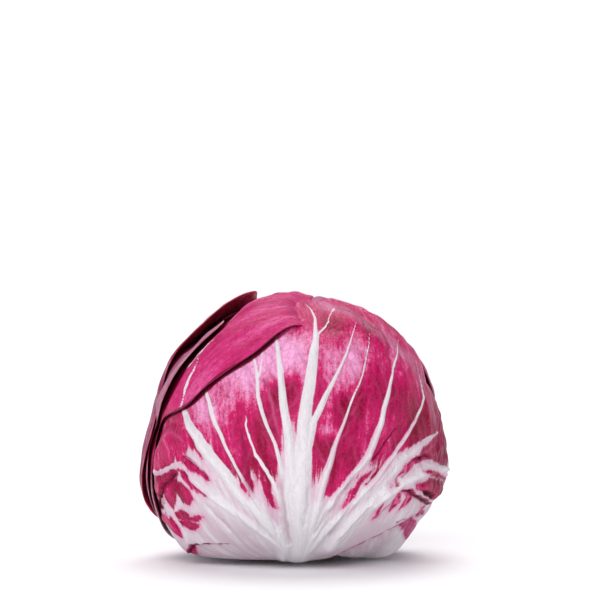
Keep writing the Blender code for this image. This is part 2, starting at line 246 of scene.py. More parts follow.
def half_angle(leaf, reach, bearing):
    """Half angle of the leaf on the bearing's side, narrow at the petiole and drawn in at its pinches."""
    full = np.where(bearing < 0.0, leaf.half[0], leaf.half[1])
    foot = np.where(bearing < 0.0, leaf.foot[0], leaf.foot[1])
    full_at = np.where(bearing < 0.0, leaf.full_at[0], leaf.full_at[1])
    half = full * (foot + (1.0 - foot) * smooth_step(PETIOLE_END, full_at, reach))
    for middle, depth, spread in leaf.pinches:
        half = half - depth * np.exp(-((reach - middle) / spread) ** 2)
    return half


def tip_reach(leaf, share):
    """Reach of the upper margin at a share of the half angle."""
    corner = np.where(share < 0.0, leaf.corner[0], leaf.corner[1])
    high, low, fall = TIP_SLANTS.get(leaf.name, (1.0, 0.0, 0.0))
    return leaf.tip - corner * np.abs(share) ** CORNER_POWER - fall * (1.0 - smooth_step(low, high, share))


def margin_gap(leaf, reach, bearing):
    """Degrees of arc from a place to the leaf's nearest free margin, below zero outside it."""
    half = half_angle(leaf, reach, bearing)
    beside = (half - np.abs(bearing)) * np.sin(np.radians(reach))
    below = tip_reach(leaf, np.clip(bearing / half, -1.0, 1.0)) - reach
    return np.minimum(beside, below)


def arc_length(reach, radius):
    """Millimetres in a degree of bearing."""
    return math.radians(1.0) * radius * np.sin(np.radians(np.clip(reach, 8.0, 172.0)))


def rib_share(rib, reach):
    return np.clip((reach - rib.reach[0]) / (rib.reach[1] - rib.reach[0]), 0.0, 1.0)


def rib_bearing(rib, reach, degree):
    """Bearing of a rib at each reach. Near the petiole the ribs run side by side in a bundle."""
    if isinstance(rib.bearing[0], tuple):
        bearing = np.interp(reach, *np.array(rib.bearing, dtype=float).T)
    else:
        bearing = rib.bearing[0] + (rib.bearing[1] - rib.bearing[0]) * rib_share(rib, reach) ** rib.bend
    bundle = abs(rib.order) * RIB_SPACING / degree
    if rib.order < 0:
        return np.minimum(bearing, -bundle)
    if rib.order > 0:
        return np.maximum(bearing, bundle)
    return bearing


def thickness(leaf, reach, bearing):
    """Thickness of the leaf between its ribs, fleshy along the middle of the petiole."""
    middle = 1.0 - 0.75 * np.clip(np.abs(bearing) / half_angle(leaf, reach, bearing), 0.0, 1.0) ** 2
    return leaf.blade + leaf.petiole * middle * (1.0 - smooth_step(10.0, 62.0, reach))


def margin_lift(leaf, reach, bearing):
    """How far the free margins stand off the leaf under them, with their ruffle."""
    near = 1.0 - smooth_step(0.0, MARGIN_ZONE, margin_gap(leaf, reach, bearing))
    lift = np.where(bearing < 0.0, leaf.lift[0], leaf.lift[1])
    wave = 0.5 + 0.5 * np.sin(np.radians(8.0 * reach + 5.0 * bearing + leaf.facing))
    places, shares = LIFT_SHARES.get(leaf.name, COMMON_LIFT_SHARES)
    share = np.interp(reach, places, shares)
    if leaf.name in TIP_SLANTS:
        share = share * (0.35 + 0.65 * smooth_step(0.02, 0.3, bearing / half_angle(leaf, reach, bearing)))
    return near * share * (lift + leaf.ruffle * wave)


def layer_under(leaves, way):
    """Radius of the ceiling under the outer leaves, how far it sinks to them, and the degrees outside them."""
    ceiling = outer_form(way)
    covered = np.zeros(way.shape[:-1])
    clear = np.full(way.shape[:-1], 90.0)
    for leaf in leaves:
        reach, bearing = fan_place(leaf, way)
        outside = np.minimum(-margin_gap(leaf, reach, bearing), reach - FOOT_SPREAD)
        cover = 1.0 - smooth_step(COVER_PAD, COVER_PAD + COVER_FADE, outside)
        ceiling = ceiling - cover * (thickness(leaf, reach, bearing) + LEAF_GAP)
        covered = 1.0 - (1.0 - covered) * (1.0 - cover)
        clear = np.minimum(clear, outside)
    return ceiling, covered, clear


def ripple(u, v, seed, waves=7):
    """A smooth pattern without repeats, between about -1 and 1, from waves in many directions."""
    draw = np.random.RandomState(seed)
    total = np.zeros(np.broadcast(u, v).shape)
    for i in range(waves):
        turn, phase = draw.uniform(0.0, 2.0 * math.pi, 2)
        pitch = 2.0 * math.pi * (0.6 + 0.8 * i / waves)
        total = total + np.sin(pitch * (u * math.cos(turn) + v * math.sin(turn)) + phase)
    return total / math.sqrt(waves) * 0.8


def line_distance(path, reach, bearing):
    """Millimetres from each place to a path on the fan, the share of the path passed, and the side."""
    across = DEGREE_MM * np.sin(np.radians(reach))
    nearest = np.full(reach.shape, 1e3)
    passed = np.zeros(reach.shape)
    side = np.ones(reach.shape)
    for i in range(len(path) - 1):
        (a0, b0), (a1, b1) = path[i], path[i + 1]
        dy, dx = (a1 - a0) * DEGREE_MM, (b1 - b0) * across
        y, x = (reach - a0) * DEGREE_MM, (bearing - b0) * across
        t = np.clip((x * dx + y * dy) / (dx * dx + dy * dy + 1e-9), 0.0, 1.0)
        distance = np.hypot(x - t * dx, y - t * dy)
        closer = distance < nearest
        nearest = np.where(closer, distance, nearest)
        passed = np.where(closer, (i + t) / (len(path) - 1), passed)
        side = np.where(closer, np.where(dx * y - dy * x > 0.0, 1.0, -1.0), side)
    return nearest, passed, side


def zone_depth(outline, reach, bearing):
    """Millimetres from each place to the edge of a patch, above zero inside it."""
    ring = outline + outline[:1]
    distance, _, _ = line_distance(ring, reach, bearing)
    inside = np.zeros(reach.shape, dtype=bool)
    for (a0, b0), (a1, b1) in zip(ring, ring[1:]):
        crosses = (b0 > bearing) != (b1 > bearing)
        level = a0 + (bearing - b0) * (a1 - a0) / (b1 - b0 + 1e-9)
        inside ^= crosses & (reach < level)
    return np.where(inside, distance, -distance)


def crumpled(reach, bearing):
    """The same places moved about by half a millimetre or so, so that no drawn edge runs straight."""
    along = 0.4 * ripple(bearing * 0.16, reach * 0.13, 61) + 0.14 * ripple(bearing * 0.45, reach * 0.38, 62)
    across = 0.4 * ripple(bearing * 0.15, reach * 0.12, 63) + 0.14 * ripple(bearing * 0.42, reach * 0.36, 64)
    return reach + along, bearing + across / np.sin(np.radians(np.clip(reach, 20.0, 160.0)))


def side_ribs(tip, half, count, twist):
    """Midrib and side ribs of a wrapper leaf, evenly fanned, each side twisted a little."""
    ribs = [Rib((0.0, twist), (5.0, tip - 12.0), (4.6, 0.5), (2.2, 0.4), 0.8, 0)]
    for side in (-1, 1):
        for i in range(1, count + 1):
            share = i / (count + 0.45)
            bearing = side * half * share + twist * (1.0 - share)
            reach = (8.0 + 2.0 * i, tip - 22.0 - 9.0 * i)
            ribs.append(Rib((0.0, bearing), reach, (2.6, 0.6), (1.7, 0.35), 0.8, side * i))
    return tuple(ribs)


# The front leaf, with every rib where it shows
FRONT_RIBS = (
    Rib(((5, 0), (20, 3), (39, 1.9), (59, 2.1), (71.4, 3.2), (85, 3.9), (98, 5.7), (110, 7.4), (121.7, 7.8),
         (127.6, 6.6), (134, 4)), (5.0, 130.0), (5.6, 5.4, 5.2, 4.6, 3.6, 2.6, 2.25, 1.75, 0.7, 0.25),
        (2.4, 0.5), 1.0, 0),
    Rib(((38, -3), (62.4, -6.3), (68.6, -7.9), (75.6, -10.7), (80.6, -12), (87, -13.3), (92.7, -13.7), (98.6, -14.4),
         (106, -15.4)), (38.0, 106.0), (1.4, 0.9, 0.65, 0.75, 0.3), (1.5, 0.5), 1.0, -1),
    Rib(((30, -9), (50, -20), (63.5, -25.7), (71.4, -28.1), (76.2, -29.4), (80, -31.1), (85.3, -32.9), (94.2, -34.7)),
        (30.0, 100.0), (1.6, 1.2, 0.6, 0.65, 1.0, 0.5), (1.6, 0.5), 1.0, -2),
    Rib((0.0, -52.0), (22.0, 102.0), (3.0, 2.8, 2.4, 0.6), (2.2, 1.0), 0.7, -3),
    Rib((0.0, -54.0), (14.0, 68.0), (2.6, 1.5), (2.0, 0.9), 0.95, -4),
    Rib(((28, 9.5), (51, 11.7), (59.8, 13), (66, 14.6), (73, 16.2), (80, 18.1), (86, 20.4), (92.2, 22.7),
         (97.8, 24.3), (104.4, 25.6), (116, 29)), (28.0, 112.0),
        (2.0, 1.9, 1.7, 1.45, 0.85, 0.5, 0.35, 0.28, 0.2), (1.5, 0.35), 1.0, 1),
    Rib(((10, 5), (30, 12), (50.8, 18.5), (57.3, 23.1), (63.7, 27.7), (68, 30.2), (74.7, 31.4), (80.7, 32.6),
         (86.6, 33.3), (93.6, 35.1), (99.5, 36.7), (106.8, 39.1), (115, 42.6), (124, 47)), (10.0, 116.0),
        (2.8, 2.4, 2.0, 1.4, 1.7, 1.1, 0.55, 0.25), (2.0, 0.6), 1.0, 2),
    Rib(((6, 0), (30, 16.5), (45, 26), (58, 34.5), (65.7, 39.3), (72, 42.8), (75.8, 44.4), (81.4, 46.9), (87.7, 50.4),
         (95.3, 54.2), (99.5, 55.6), (103.3, 54.9), (107.3, 54.1), (116, 52)), (6.0, 108.0),
        (2.4, 2.2, 2.0, 1.5, 1.0, 0.75, 0.25), (1.8, 0.45), 1.0, 3),
    Rib((30.0, 92.0), (25.0, 87.0), (3.0, 2.6), (2.2, 1.4), 2.3, 4),
    Rib((-1.0, -8.0), (52.0, 116.0), (2.0, 1.7, 1.15, 0.4), (1.4, 0.7), 1.2, -1),
    Rib(((60, 3.5), (77, 6.4), (79.5, 7.6), (86, 10), (92.6, 12.9), (99, 16), (105, 18.7), (112, 21.1), (120, 24)),
        (62.0, 116.0), (1.6, 1.5, 1.2, 0.65, 0.38, 0.2), (1.1, 0.4), 1.0, 1),
)

# Thinner veins and grooves of the front leaf
FRONT_LINES = (
    Line(((109, 7.5), (114, 9.5), (120, 13), (130, 17)), (0.4, 0.2), 0.3, 1.0, 0.0),
    Line(((94, -13.5), (96, -13), (104, -12), (108, -11.5)), (0.4, 0.25), 0.3, 1.0, 0.0),
    Line(((70, -5.6), (78, -7.2), (84, -8.5), (89, -9.6), (94, -11.4)), (0.4, 0.3), 0.25, 0.95, 0.0),
    Line(((48, -7), (57, -11), (66, -16), (73, -17.5), (80, -19)), (0.9, 0.2), 0.35, 1.0, 0.0),
    Line(((68, -60), (64, -60.5), (61, -65), (58, -69.5), (53, -70), (51, -75)), (0.4, 0.4), 0.4, 1.0, 0.0),
    Line(((79, -48), (82, -51), (86, -55), (88, -62), (87, -68)), (0.4, 0.3), 0.25, 0.8, 0.0),
    Line(((85.4, -22.8), (88.3, -24.3), (92, -26.8), (97.6, -30.9)), (0.25, 0.2), -0.2, 0.0, 0.4),
    Line(((66, 46), (70, 49), (75, 55), (86, 68)), (0.6, 0.35), 0.3, 1.0, 0.0),
    Line(((99, 56), (104, 54), (112, 52), (122, 54)), (0.5, 0.4), 0.2, 0.9, 0.0),
    Line(((63, 19.7), (58, 18), (53, 16.5)), (0.3, 0.5), 0.2, 1.0, 0.0),
    Line(((93, 78), (83, 70), (77, 61), (74, 55)), (0.3, 0.4), 0.25, 0.7, 0.0),
    Line(((91, 73), (84.5, 66), (78.5, 59), (71.6, 51)), (0.3, 0.4), 0.25, 0.7, 0.0),
    Line(((78, -20), (73, -21), (67, -20.5), (59, -21.5), (50, -21)), (1.3, 0.9), -0.8, 0.0, 0.3),
    Line(((60, -6), (50, -6), (36, -6), (27, -5)), (1.0, 0.9), -1.2, 0.0, 0.15),
    Line(((64, 28), (52, 21.5), (47, 19), (41, 15.5), (32, 11)), (1.0, 0.9), -1.3, 0.0, 0.12),
    Line(((50, 29), (44, 26.5), (38, 25), (33, 23.5)), (0.8, 0.9), -0.9, 0.0, 0.1),
    Line(((74, -51), (72, -48), (69, -46), (64, -41.5), (61, -39.5)), (0.9, 0.6), -0.9, 0.0, 0.25),
    Line(((70, -54), (66, -51), (63, -50), (59, -47.7), (56, -44)), (0.8, 0.6), -0.8, 0.0, 0.25),
    Line(((84, 41.6), (77.8, 38.2), (72.6, 35.7), (68.9, 33.8), (66, 31.6)), (0.35, 0.35), -0.4, 0.0, 0.85),
    Line(((54, -13), (46, -13), (36, -13), (28, -12)), (0.8, 0.8), -0.7, 0.0, 0.0),
    Line(((58, -37), (50, -34), (40, -31), (30, -30)), (0.9, 0.9), -0.8, 0.0, 0.0),
    Line(((56, -49), (48, -45), (38, -42)), (0.8, 0.8), -0.8, 0.0, 0.0),
    Line(((50, -25), (42, -22), (32, -20)), (0.8, 0.8), -0.7, 0.0, 0.0),
    Line(((57, 42), (50, 38), (40, 34), (31, 32)), (0.9, 0.8), -0.9, 0.0, 0.1),
    Line(((55, 6), (46, 6), (36, 5)), (0.9, 0.9), -0.8, 0.0, 0.0),
)

# Folds of the front leaf, most of them low on its sides
FRONT_FOLDS = (
    Fold(((66, -79), (67.3, -73.6), (68.2, -69), (69, -61), (70, -54)), 1.3, 4.5, 0.9),
    Fold(((47, -97), (45.6, -86), (45, -77.5), (43.3, -71.7), (39.6, -63), (34, -50)), 1.6, 6.0, 0.9),
    Fold(((61, 51), (62.6, 56.5), (62.2, 63), (65.5, 78), (68.6, 88)), 1.5, 5.0, 0.95),
    Fold(((46, 44.7), (48.4, 46.3), (55.8, 49), (61.5, 52)), 0.8, 3.0, 0.3),
    Fold(((50, 61), (51, 62.4), (52.8, 64.3), (54, 69.3)), 0.7, 3.0, 0.6),
    Fold(((73, 52), (76, 56), (78.7, 60), (80, 67)), 0.9, 3.5, 0.85),
    Fold(((108, 33), (113, 37), (119, 34), (123, 28), (128, 22), (133, 12)), 0.35, 6.0, 0.4),
    Fold(((92, 70), (100, 64), (106, 58), (115, 56)), 0.4, 3.0, 0.35),
    Fold(((96, 76), (104, 71), (112, 66)), 0.4, 3.0, 0.35),
)

# Patches low on the front leaf's sides, where its margin zone is crumpled
FRONT_ZONES = (
    Zone("blade", 0.0, ((79, 18.6), (69, 15.6), (55.5, 12.5), (50.4, 11.2), (51.2, 16.6), (54.3, 20), (62, 26.6),
                          (66, 28.6), (73.7, 29.9), (81, 30))),
    Zone("blade", 0.0, ((57, -24.5), (57.7, -22.3), (54.6, -22.3), (51, -24.9), (51.6, -26.5))),
    Zone("blade", 0.0, ((58, -20.6), (56.7, -19.3), (51.7, -20.4), (51.6, -22), (54.5, -21.9))),
    Zone("blade", 0.0, ((58, -15.6), (55.4, -12.9), (49.6, -11.1), (44.8, -9.9), (47, -12.1), (51.1, -14.1))),
    Zone("blade", 0.0, ((63, 33), (61.5, 32.6), (56.3, 28.9), (52.8, 27.7), (52.4, 25), (57.3, 27.2), (61, 30))),
    Zone("blade", 0.0, ((52, 25.3), (52.1, 28.9), (49, 28.6), (45.5, 26.7), (47.5, 23.7))),
    Zone("blade", -0.3, ((84.6, 41.2), (76.5, 35.9), (68.3, 31.4), (67.6, 33.7), (70.5, 37.6), (66.4, 36.8),
                           (57.3, 32.4), (57, 34.5), (61.7, 39), (69.7, 42.6), (80.2, 47.2), (88.3, 50.8))),
    Zone("blade", 0.0, ((73.5, 45.2), (76.8, 45.3), (82.8, 51.4), (91.5, 58), (95, 66), (85.7, 57.7), (78, 51))),
    Zone("white", 0.5, ((73.2, 45.3), (71.7, 44.9), (63.8, 40), (54.5, 33.8), (49.4, 31.3), (49.7, 32.7),
                        (54.4, 35.8), (63.3, 42.2), (71.4, 47))),
    Zone("white", 0.6, ((72.6, 44.5), (75.8, 49.7), (82.5, 57.3), (92, 69.3), (91.8, 70.5), (81.8, 59),
                        (74.7, 52.5), (67.6, 47.6), (63.2, 44.3), (64, 43))),
    Zone("magenta", 0.0, ((90, 68.5), (82, 60.3), (75, 54.2), (67.9, 48.6), (60, 45), (61.2, 47.6), (67.7, 52),
                          (74.3, 57.7), (78, 65), (83, 78), (90, 78))),
    Zone("wine", -1.0, ((72.8, 53.9), (76.7, 56.7), (78.7, 60), (76, 59))),
    Zone("white", 1.2, ((50.2, 35.4), (57.3, 43.4), (64, 48.2), (73.3, 58.3), (76.4, 62.5), (81, 76.4), (86, 93),
                        (79, 84.4), (72.6, 68.7), (67.3, 58.7), (61.6, 52), (55.2, 47), (49, 43))),
    Zone("magenta", -0.5, ((71.2, 60), (75, 68.7), (77.5, 77.8), (83, 92), (75.7, 76), (73.2, 67.8))),
    Zone("magenta", 0.9, ((65, 58), (71.8, 69.5), (78.7, 88), (80, 96.6), (77, 99), (73.7, 97), (68, 81),
                          (66.6, 72.8), (65, 64))),
    Zone("wine", -1.6, ((65, 63.2), (68, 69.5), (69, 76.8), (67.4, 78.5), (65.3, 72.4), (64.6, 66))),
    Zone("white", 0.4, ((61.7, 61.4), (64.3, 76.6), (60, 75), (58.4, 79), (54.7, 66.5), (53, 62), (59, 60.6))),
    Zone("magenta", -0.3, ((58, 49.6), (60.2, 52), (56.7, 54.3), (51.3, 52.3), (54, 50.8))),
    Zone("magenta", -0.3, ((61, 52.5), (63, 59.2), (60, 61), (53.8, 57), (56, 56.5), (59.9, 57.5), (60.5, 54))),
    Zone("magenta", -0.3, ((52.5, 43.5), (52.6, 45.3), (48.2, 45.2), (46, 44.5), (48.5, 43.6))),
    Zone("magenta", 0.0, ((61.2, 72.7), (64.3, 80), (65, 92), (59.3, 79.4))),
    Zone("magenta", 0.3, ((54.7, 71), (58.7, 84), (60.4, 101), (52, 95), (50.5, 69.4))),
    Zone("white", 0.8, ((91.5, -48), (83, -45.4), (75.8, -42), (67.5, -38.4), (61, -34), (60.5, -31), (66.8, -33.3),
                        (72.7, -35.9), (78.4, -38.6), (86, -43.8))),
    Zone("white", 1.1, ((80.6, -79), (75.6, -69.8), (73.8, -64), (73, -57.4), (71.9, -52.3), (70, -49.8), (63, -45),
                        (55.3, -37), (54.5, -39.4), (60, -44.6), (67, -50.6), (70, -53.8), (72, -64.3),
                        (74, -70.8), (79, -79.6))),
    Zone("magenta", 0.0, ((74, -51), (72, -48), (69, -46), (64.7, -41.4), (61, -39.5), (61.7, -41.6), (64.7, -44.8),
                          (68, -48.4), (71.8, -51.3))),
    Zone("magenta", 0.5, ((75.2, -74.3), (72, -65), (71, -58.4), (69.8, -54), (68.3, -58.4), (68, -64.4),
                          (67.5, -71.7), (69, -79.7), (72.5, -80))),
    Zone("magenta", 0.0, ((67, -69.6), (68, -62.3), (67.5, -59), (64.3, -59.8), (61, -64.5), (59, -69.7),
                          (61.5, -70.7), (65, -71))),
    Zone("wine", -1.8, ((69, -76), (67, -71), (64, -73), (64, -79.4), (65.6, -86), (68, -83))),
    Zone("magenta", 0.2, ((66.7, -58.6), (64.8, -55.6), (60.6, -53.2), (57, -52.9), (56, -56.7), (58.5, -59.8),
                          (62, -61), (64.5, -60.3))),
    Zone("magenta", 0.0, ((70, -54), (66, -50.6), (63, -50), (59.6, -47.6), (56, -44), (58, -48), (61, -51),
                          (65, -53))),
    Zone("magenta", 1.0, ((65.4, -88.5), (62, -78), (58.4, -74), (55, -73.6), (52, -74.5), (49.7, -78.7),
                          (52, -80.3), (56.6, -83), (61.3, -87.5), (65, -92))),
    Zone("white", 0.4, ((66.2, -83), (61, -74.2), (57.4, -72), (58.6, -74.7), (61.8, -78.3), (65.5, -86.4))),
    Zone("magenta", 0.0, ((58, -69.5), (56.6, -64), (53.4, -61.5), (51.3, -63), (54, -68.7), (56.6, -70.3))),
    Zone("magenta", 0.0, ((54.6, -70.7), (51, -64), (48.3, -58.6), (47, -61.3), (49, -67.8), (52, -70.5))),
    Zone("magenta", 0.0, ((52.4, -63.4), (51, -55.3), (49, -53.2), (50, -60))),
    Zone("magenta", 0.8, ((47, -90), (44.2, -78), (42.3, -86.5), (44, -92))),
)

# Where pigment begins on the front leaf between its ribs, as bearing and reach
FRONT_PIGMENT = (
    (-100, 80), (-84, 79), (-78, 78), (-70, 74), (-64, 72), (-57, 71), (-52, 71), (-48, 75), (-44, 74),
    (-40, 68), (-35, 70), (-32, 62), (-25, 56), (-22, 54), (-17, 58), (-13, 50), (-9, 55), (-5, 70), (-1, 73),
    (3, 62), (6, 57), (9, 57), (12, 53), (15, 54), (20, 55), (24, 60), (26, 63), (32, 66), (35, 66), (40, 71),
    (46, 76), (52, 80), (60, 84), (70, 85), (79, 86), (100, 90),
)

# Deep crimson and pale patches of the front leaf: reach, bearing, size along and across, and strength. The pale
# patches are partly paler pigment and partly painted sheen; the deep ones on the far right are partly painted
# shade of the side turned from the light
FRONT_TONES_AND_SHEEN = (
    (84, 20, 9, 6, 1.0), (69, 11, 7, 4, 0.8), (68, 19, 6, 4, 0.6), (74, -13, 10, 5, 0.9), (90, -4, 7, 4, 0.8),
    (60, -12, 8, 3, 0.9), (80, 37, 10, 5, 0.5), (92, 30, 8, 5, 0.5), (63, -19, 8, 3, 0.9), (77, -42, 6, 3, 0.7),
    (60, 14, 6, 4, 0.7), (93, 38, 6, 5, 0.4), (60, -27, 6, 4, 0.5), (56, -44, 6, 3, 0.6), (60, 34, 6, 5, 0.5),
    (66, -60, 6, 5, 0.5), (75, 62, 6, 6, 0.6), (120, 15, 6, 5, 0.5), (118, 30, 5, 5, 0.5),
    (103, -2, 10, 7, -1.2), (96, -5.5, 6, 3, -0.8), (104, -12, 9, 8, -1.1), (94, -18, 7, 5, -0.7),
    (84, 84, 14, 14, 1.3), (92, 55, 10, 9, 0.7), (100, 70, 12, 8, 0.8), (70, 84, 6, 10, 0.9), (84, 50, 8, 5, 0.8),
    (72, -66, 4, 10, 0.8), (58, -62, 10, 14, 0.4), (100, 20.5, 7, 4.5, -1.1), (92, 17, 5, 4, -0.8),
    (107, 27, 5, 4, -0.4), (104, 12, 6, 4, -0.3), (87, -24, 6, 4, -0.5), (74, 11, 2.5, 4, -0.8),
    (102, -25, 9, 9, -0.9), (84, -32, 6, 4, -0.5), (91, -40, 7, 7, -0.7),
)

# The painted sheen on the front leaf's upper right: a greyed band along this path
FRONT_SHEEN_BAND = ((131, 14), (128, 22), (123, 27), (119, 33), (116, 40), (114, 47), (110, 54), (104, 59), (96, 66))

LEFT_A_LINES = (
    Line(((98, 65), (103, 63), (110, 59), (116, 56), (120, 50.5), (126, 48), (130, 46), (136, 43)),
         (0.45, 0.15), 0.3, 1.0, 0.0),
    Line(((124, 51), (120, 50.5)), (0.3, 0.2), 0.2, 1.0, 0.0),
    Line(((151, 52), (155, 61)), (0.4, 0.4), 0.2, 0.9, 0.0),
    Line(((146, 40), (152, 43), (156, 50)), (0.35, 0.35), 0.2, 0.6, 0.0),
)


def wrapper(name, facing, half, tip, twist, root=22.0, foot=0.7, pinches=(), corner=(30.0, 30.0),
            lift=(0.6, 0.6), ruffle=0.6, grid=(230, 160), count=2):
    """A wrapper leaf of the common kind."""
    return Leaf(name=name, facing=facing, root=root, half=half, foot=(foot, foot), full_at=(58.0, 58.0),
                pinches=pinches, tip=tip, corner=corner, blade=0.75, petiole=1.6, lift=lift, ruffle=ruffle,
                ribs=side_ribs(tip, min(half), count, twist), grid=grid)


def inner_leaf(name, facing, half, tip, twist, root=34.0, corner=(30.0, 30.0)):
    """A leaf under the wrappers, its foot spread wide round the stem."""
    return wrapper(name, facing, half, tip, twist, root=root, foot=1.5, corner=corner, grid=(176, 136), count=1)


# From the outermost leaf to the innermost
LEAVES = (
    wrapper("outer_left_leaf", -165.0, half=(66.0, 85.0), tip=141.0, twist=4.0, corner=(35.0, 45.0),
            pinches=((96.0, 3.0, 17.0), (113.0, 7.0, 8.0)), lift=(0.8, 3.1), ruffle=0.7, grid=(256, 160)),
    wrapper("left_leaf_b", -145.0, half=(60.0, 75.0), tip=152.0, twist=-3.0, pinches=((86.0, 12.0, 17.0),),
            corner=(40.0, 58.0), lift=(0.0, 1.6), ruffle=0.6),
    wrapper("right_leaf", 140.0, half=(44.0, 60.0), tip=126.0, twist=-4.0, foot=0.8, pinches=((86.0, 4.0, 17.0),),
            corner=(30.0, 34.0), lift=(0.0, 0.0), ruffle=0.2),
    wrapper("left_leaf_a", -125.0, half=(62.0, 70.0), tip=158.0, twist=3.0, foot=0.8, corner=(30.0, 0.0),
            pinches=((80.0, 24.0, 17.0), (133.0, -5.0, 12.0)), lift=(0.0, 0.2), ruffle=0.3, grid=(256, 184)),
    Leaf(name="front_leaf", facing=0.0, root=27.0, half=(100.0, 98.0), foot=(0.8, 0.5), full_at=(54.0, 92.0),
         pinches=(), tip=141.0, corner=(30.0, 24.0), blade=0.8, petiole=2.0, lift=(0.0, 0.4),
         ruffle=0.3, ribs=FRONT_RIBS, grid=(396, 232)),
    inner_leaf("inner_back_leaf", 165.0, half=(64.0, 64.0), tip=150.0, twist=2.0, root=26.0),
    inner_leaf("inner_left_leaf", -78.0, half=(66.0, 62.0), tip=152.0, twist=-3.0, corner=(34.0, 30.0)),
    inner_leaf("inner_right_leaf", 66.0, half=(64.0, 66.0), tip=154.0, twist=4.0, corner=(30.0, 34.0)),
)


def leaf_by_name(name):
    for i, leaf in enumerate(LEAVES):
        if leaf.name == name:
            return leaf, LEAVES[:i]
    raise RuntimeError("no leaf is called " + name)


def random_veins(leaf):
    """Fine side veins that leave the main ribs at a slant and curve up towards the margin."""
    draw = np.random.RandomState(int(leaf.facing) % 360 + 11)
    lines = []
    for rib in leaf.ribs:
        low = max(rib.reach[0] + 8.0, 60.0)
        for start in np.arange(low, rib.reach[1] - 4.0, 8.5):
            for side in (-1, 1):
                reach = start + draw.uniform(-3.0, 3.0)
                bearing = float(rib_bearing(rib, reach, arc_length(reach, HALF_WIDTH)))
                climb = draw.uniform(8.0, 15.0)
                swing = side * draw.uniform(3.5, 7.0) / math.sin(math.radians(min(reach + 6.0, 150.0)))
                path = tuple((reach + climb * t, bearing + swing * t ** 0.8) for t in (0.0, 0.33, 0.66, 1.0))
                lines.append(Line(path, (0.42, 0.22), 0.16, draw.uniform(0.35, 0.75), 0.0))
    return tuple(lines)


def leaf_lines(leaf):
    """The veins and grooves of a leaf that are drawn one by one."""
    return {"front_leaf": FRONT_LINES, "left_leaf_a": LEFT_A_LINES}.get(leaf.name, ())


def rib_marks(leaf, reach, bearing, degree):
    """Relief of the ribs, how far inside them each place is, and the millimetres to the nearest one."""
    relief = np.zeros_like(reach)
    white = np.full(reach.shape, FAR_OUTSIDE)
    clear = np.full(reach.shape, FAR_CLEAR)
    for number, rib in enumerate(leaf.ribs):
        sway = 0.3 * ripple(reach * 0.05, np.full(reach.shape, 7.0 * number), 50 + number)
        aside = np.abs((bearing - rib_bearing(rib, reach, degree)) * degree - sway)
        width = np.interp(rib_share(rib, reach), np.linspace(0.0, 1.0, len(rib.width)), rib.width)
        rise = rib.rise[0] + (rib.rise[1] - rib.rise[0]) * rib_share(rib, reach)
        begins = smooth_step(rib.reach[0] - 8.0, rib.reach[0] + 4.0, reach)
        ends = 1.0 - smooth_step(rib.reach[1], rib.reach[1] + 12.0, reach)
        ridge = 0.5 + 0.5 * np.cos(np.pi * np.clip(aside / (1.35 * width), 0.0, 1.0))
        relief = np.maximum(relief, rise * ridge * begins * ends)
        shown = width * (1.6 * begins * ends - 0.6)
        white = np.maximum(white, (shown - aside) * np.maximum(1.0, FINE_LINE / width))
        clear = np.minimum(clear, aside + FAR_CLEAR * (1.0 - begins * ends))
    return relief, white, clear


def line_marks(leaf, reach, bearing, relief, white, clear):
    """The same with the drawn veins and grooves laid over, and the values for faint vein and painted shade in the
    grooves.
    """
    vein = np.zeros_like(reach)
    wine = np.zeros_like(reach)
    for line in leaf_lines(leaf):
        distance, passed, _ = line_distance(line.path, reach, bearing)
        width = line.width[0] + (line.width[1] - line.width[0]) * passed
        ends = smooth_step(0.0, 0.15, passed) * smooth_step(0.0, 0.15, 1.0 - passed)
        ridge = np.exp(-(distance / (1.1 * width)) ** 2)
        if line.rise < 0.0:
            relief = relief + line.rise * ridge * ends
            wine = np.maximum(wine, line.wine * ridge * ends)
            continue
        relief = np.maximum(relief, line.rise * ridge)
        if line.white < 1.0:
            vein = np.maximum(vein, 1.3 * line.white * np.exp(-(distance / 0.6) ** 2))
        else:
            white = np.maximum(white, (line.white * width - distance) * np.maximum(1.0, FINE_LINE / width))
            clear = np.minimum(clear, distance)
    return relief, white, clear, vein, wine


def zone_marks(place, moved, ribs_only, relief, white, wine):
    """The front leaf's patches laid over, the value for pigment in them, and painted shade at patch edges and
    pockets.
    """
    reach, bearing = place
    stain = np.full(reach.shape, FAR_OUTSIDE)
    for zone in FRONT_ZONES:
        depth = zone_depth(zone.outline, *moved)
        relief = relief + zone.height * smooth_step(-0.3, 1.8, depth)
        if zone.kind == "white":
            white = np.maximum(white, 1.2 * depth + 0.35)
            stain = np.where(depth > -1.3, np.minimum(stain, -0.8 - depth), stain)
        elif zone.kind == "magenta":
            stain = np.maximum(stain, depth + 0.35)
            # Painted shade along the inner edge of a magenta patch, where it folds under
            crease_shade = np.exp(-((depth - 0.5) / 0.45) ** 2) * (0.25 + 0.35 * ripple(reach * 0.3, bearing * 0.3, 73))
            wine = np.maximum(wine, crease_shade)
        elif zone.kind == "blade":
            stain = np.maximum(stain, np.minimum(depth + 0.35, -1.5 * ribs_only))
        else:
            # A sunk pocket, painted dark as shade
            wine = np.maximum(wine, 0.9 * smooth_step(-0.5, 0.9, depth))
    return relief, white, wine, stain


def fold_marks(moved, relief, wine):
    """The front leaf's folds laid over, each with painted shade in the crease at its foot."""
    for fold in FRONT_FOLDS:
        distance, passed, side = line_distance(fold.path, *moved)
        ends = smooth_step(0.0, 0.2, passed) * smooth_step(0.0, 0.2, 1.0 - passed)
        step = smooth_step(-0.35, 0.35, side * distance)
        stand = step * np.exp(-distance / fold.back) - 0.5 * (1.0 - step) * np.exp(-distance / 1.5)
        relief = relief + fold.height * stand * ends
        crease_shade = np.exp(-((side * distance + 0.4) / 0.65) ** 2)
        wine = np.maximum(wine, fold.wine * crease_shade * ends)
    return relief, wine


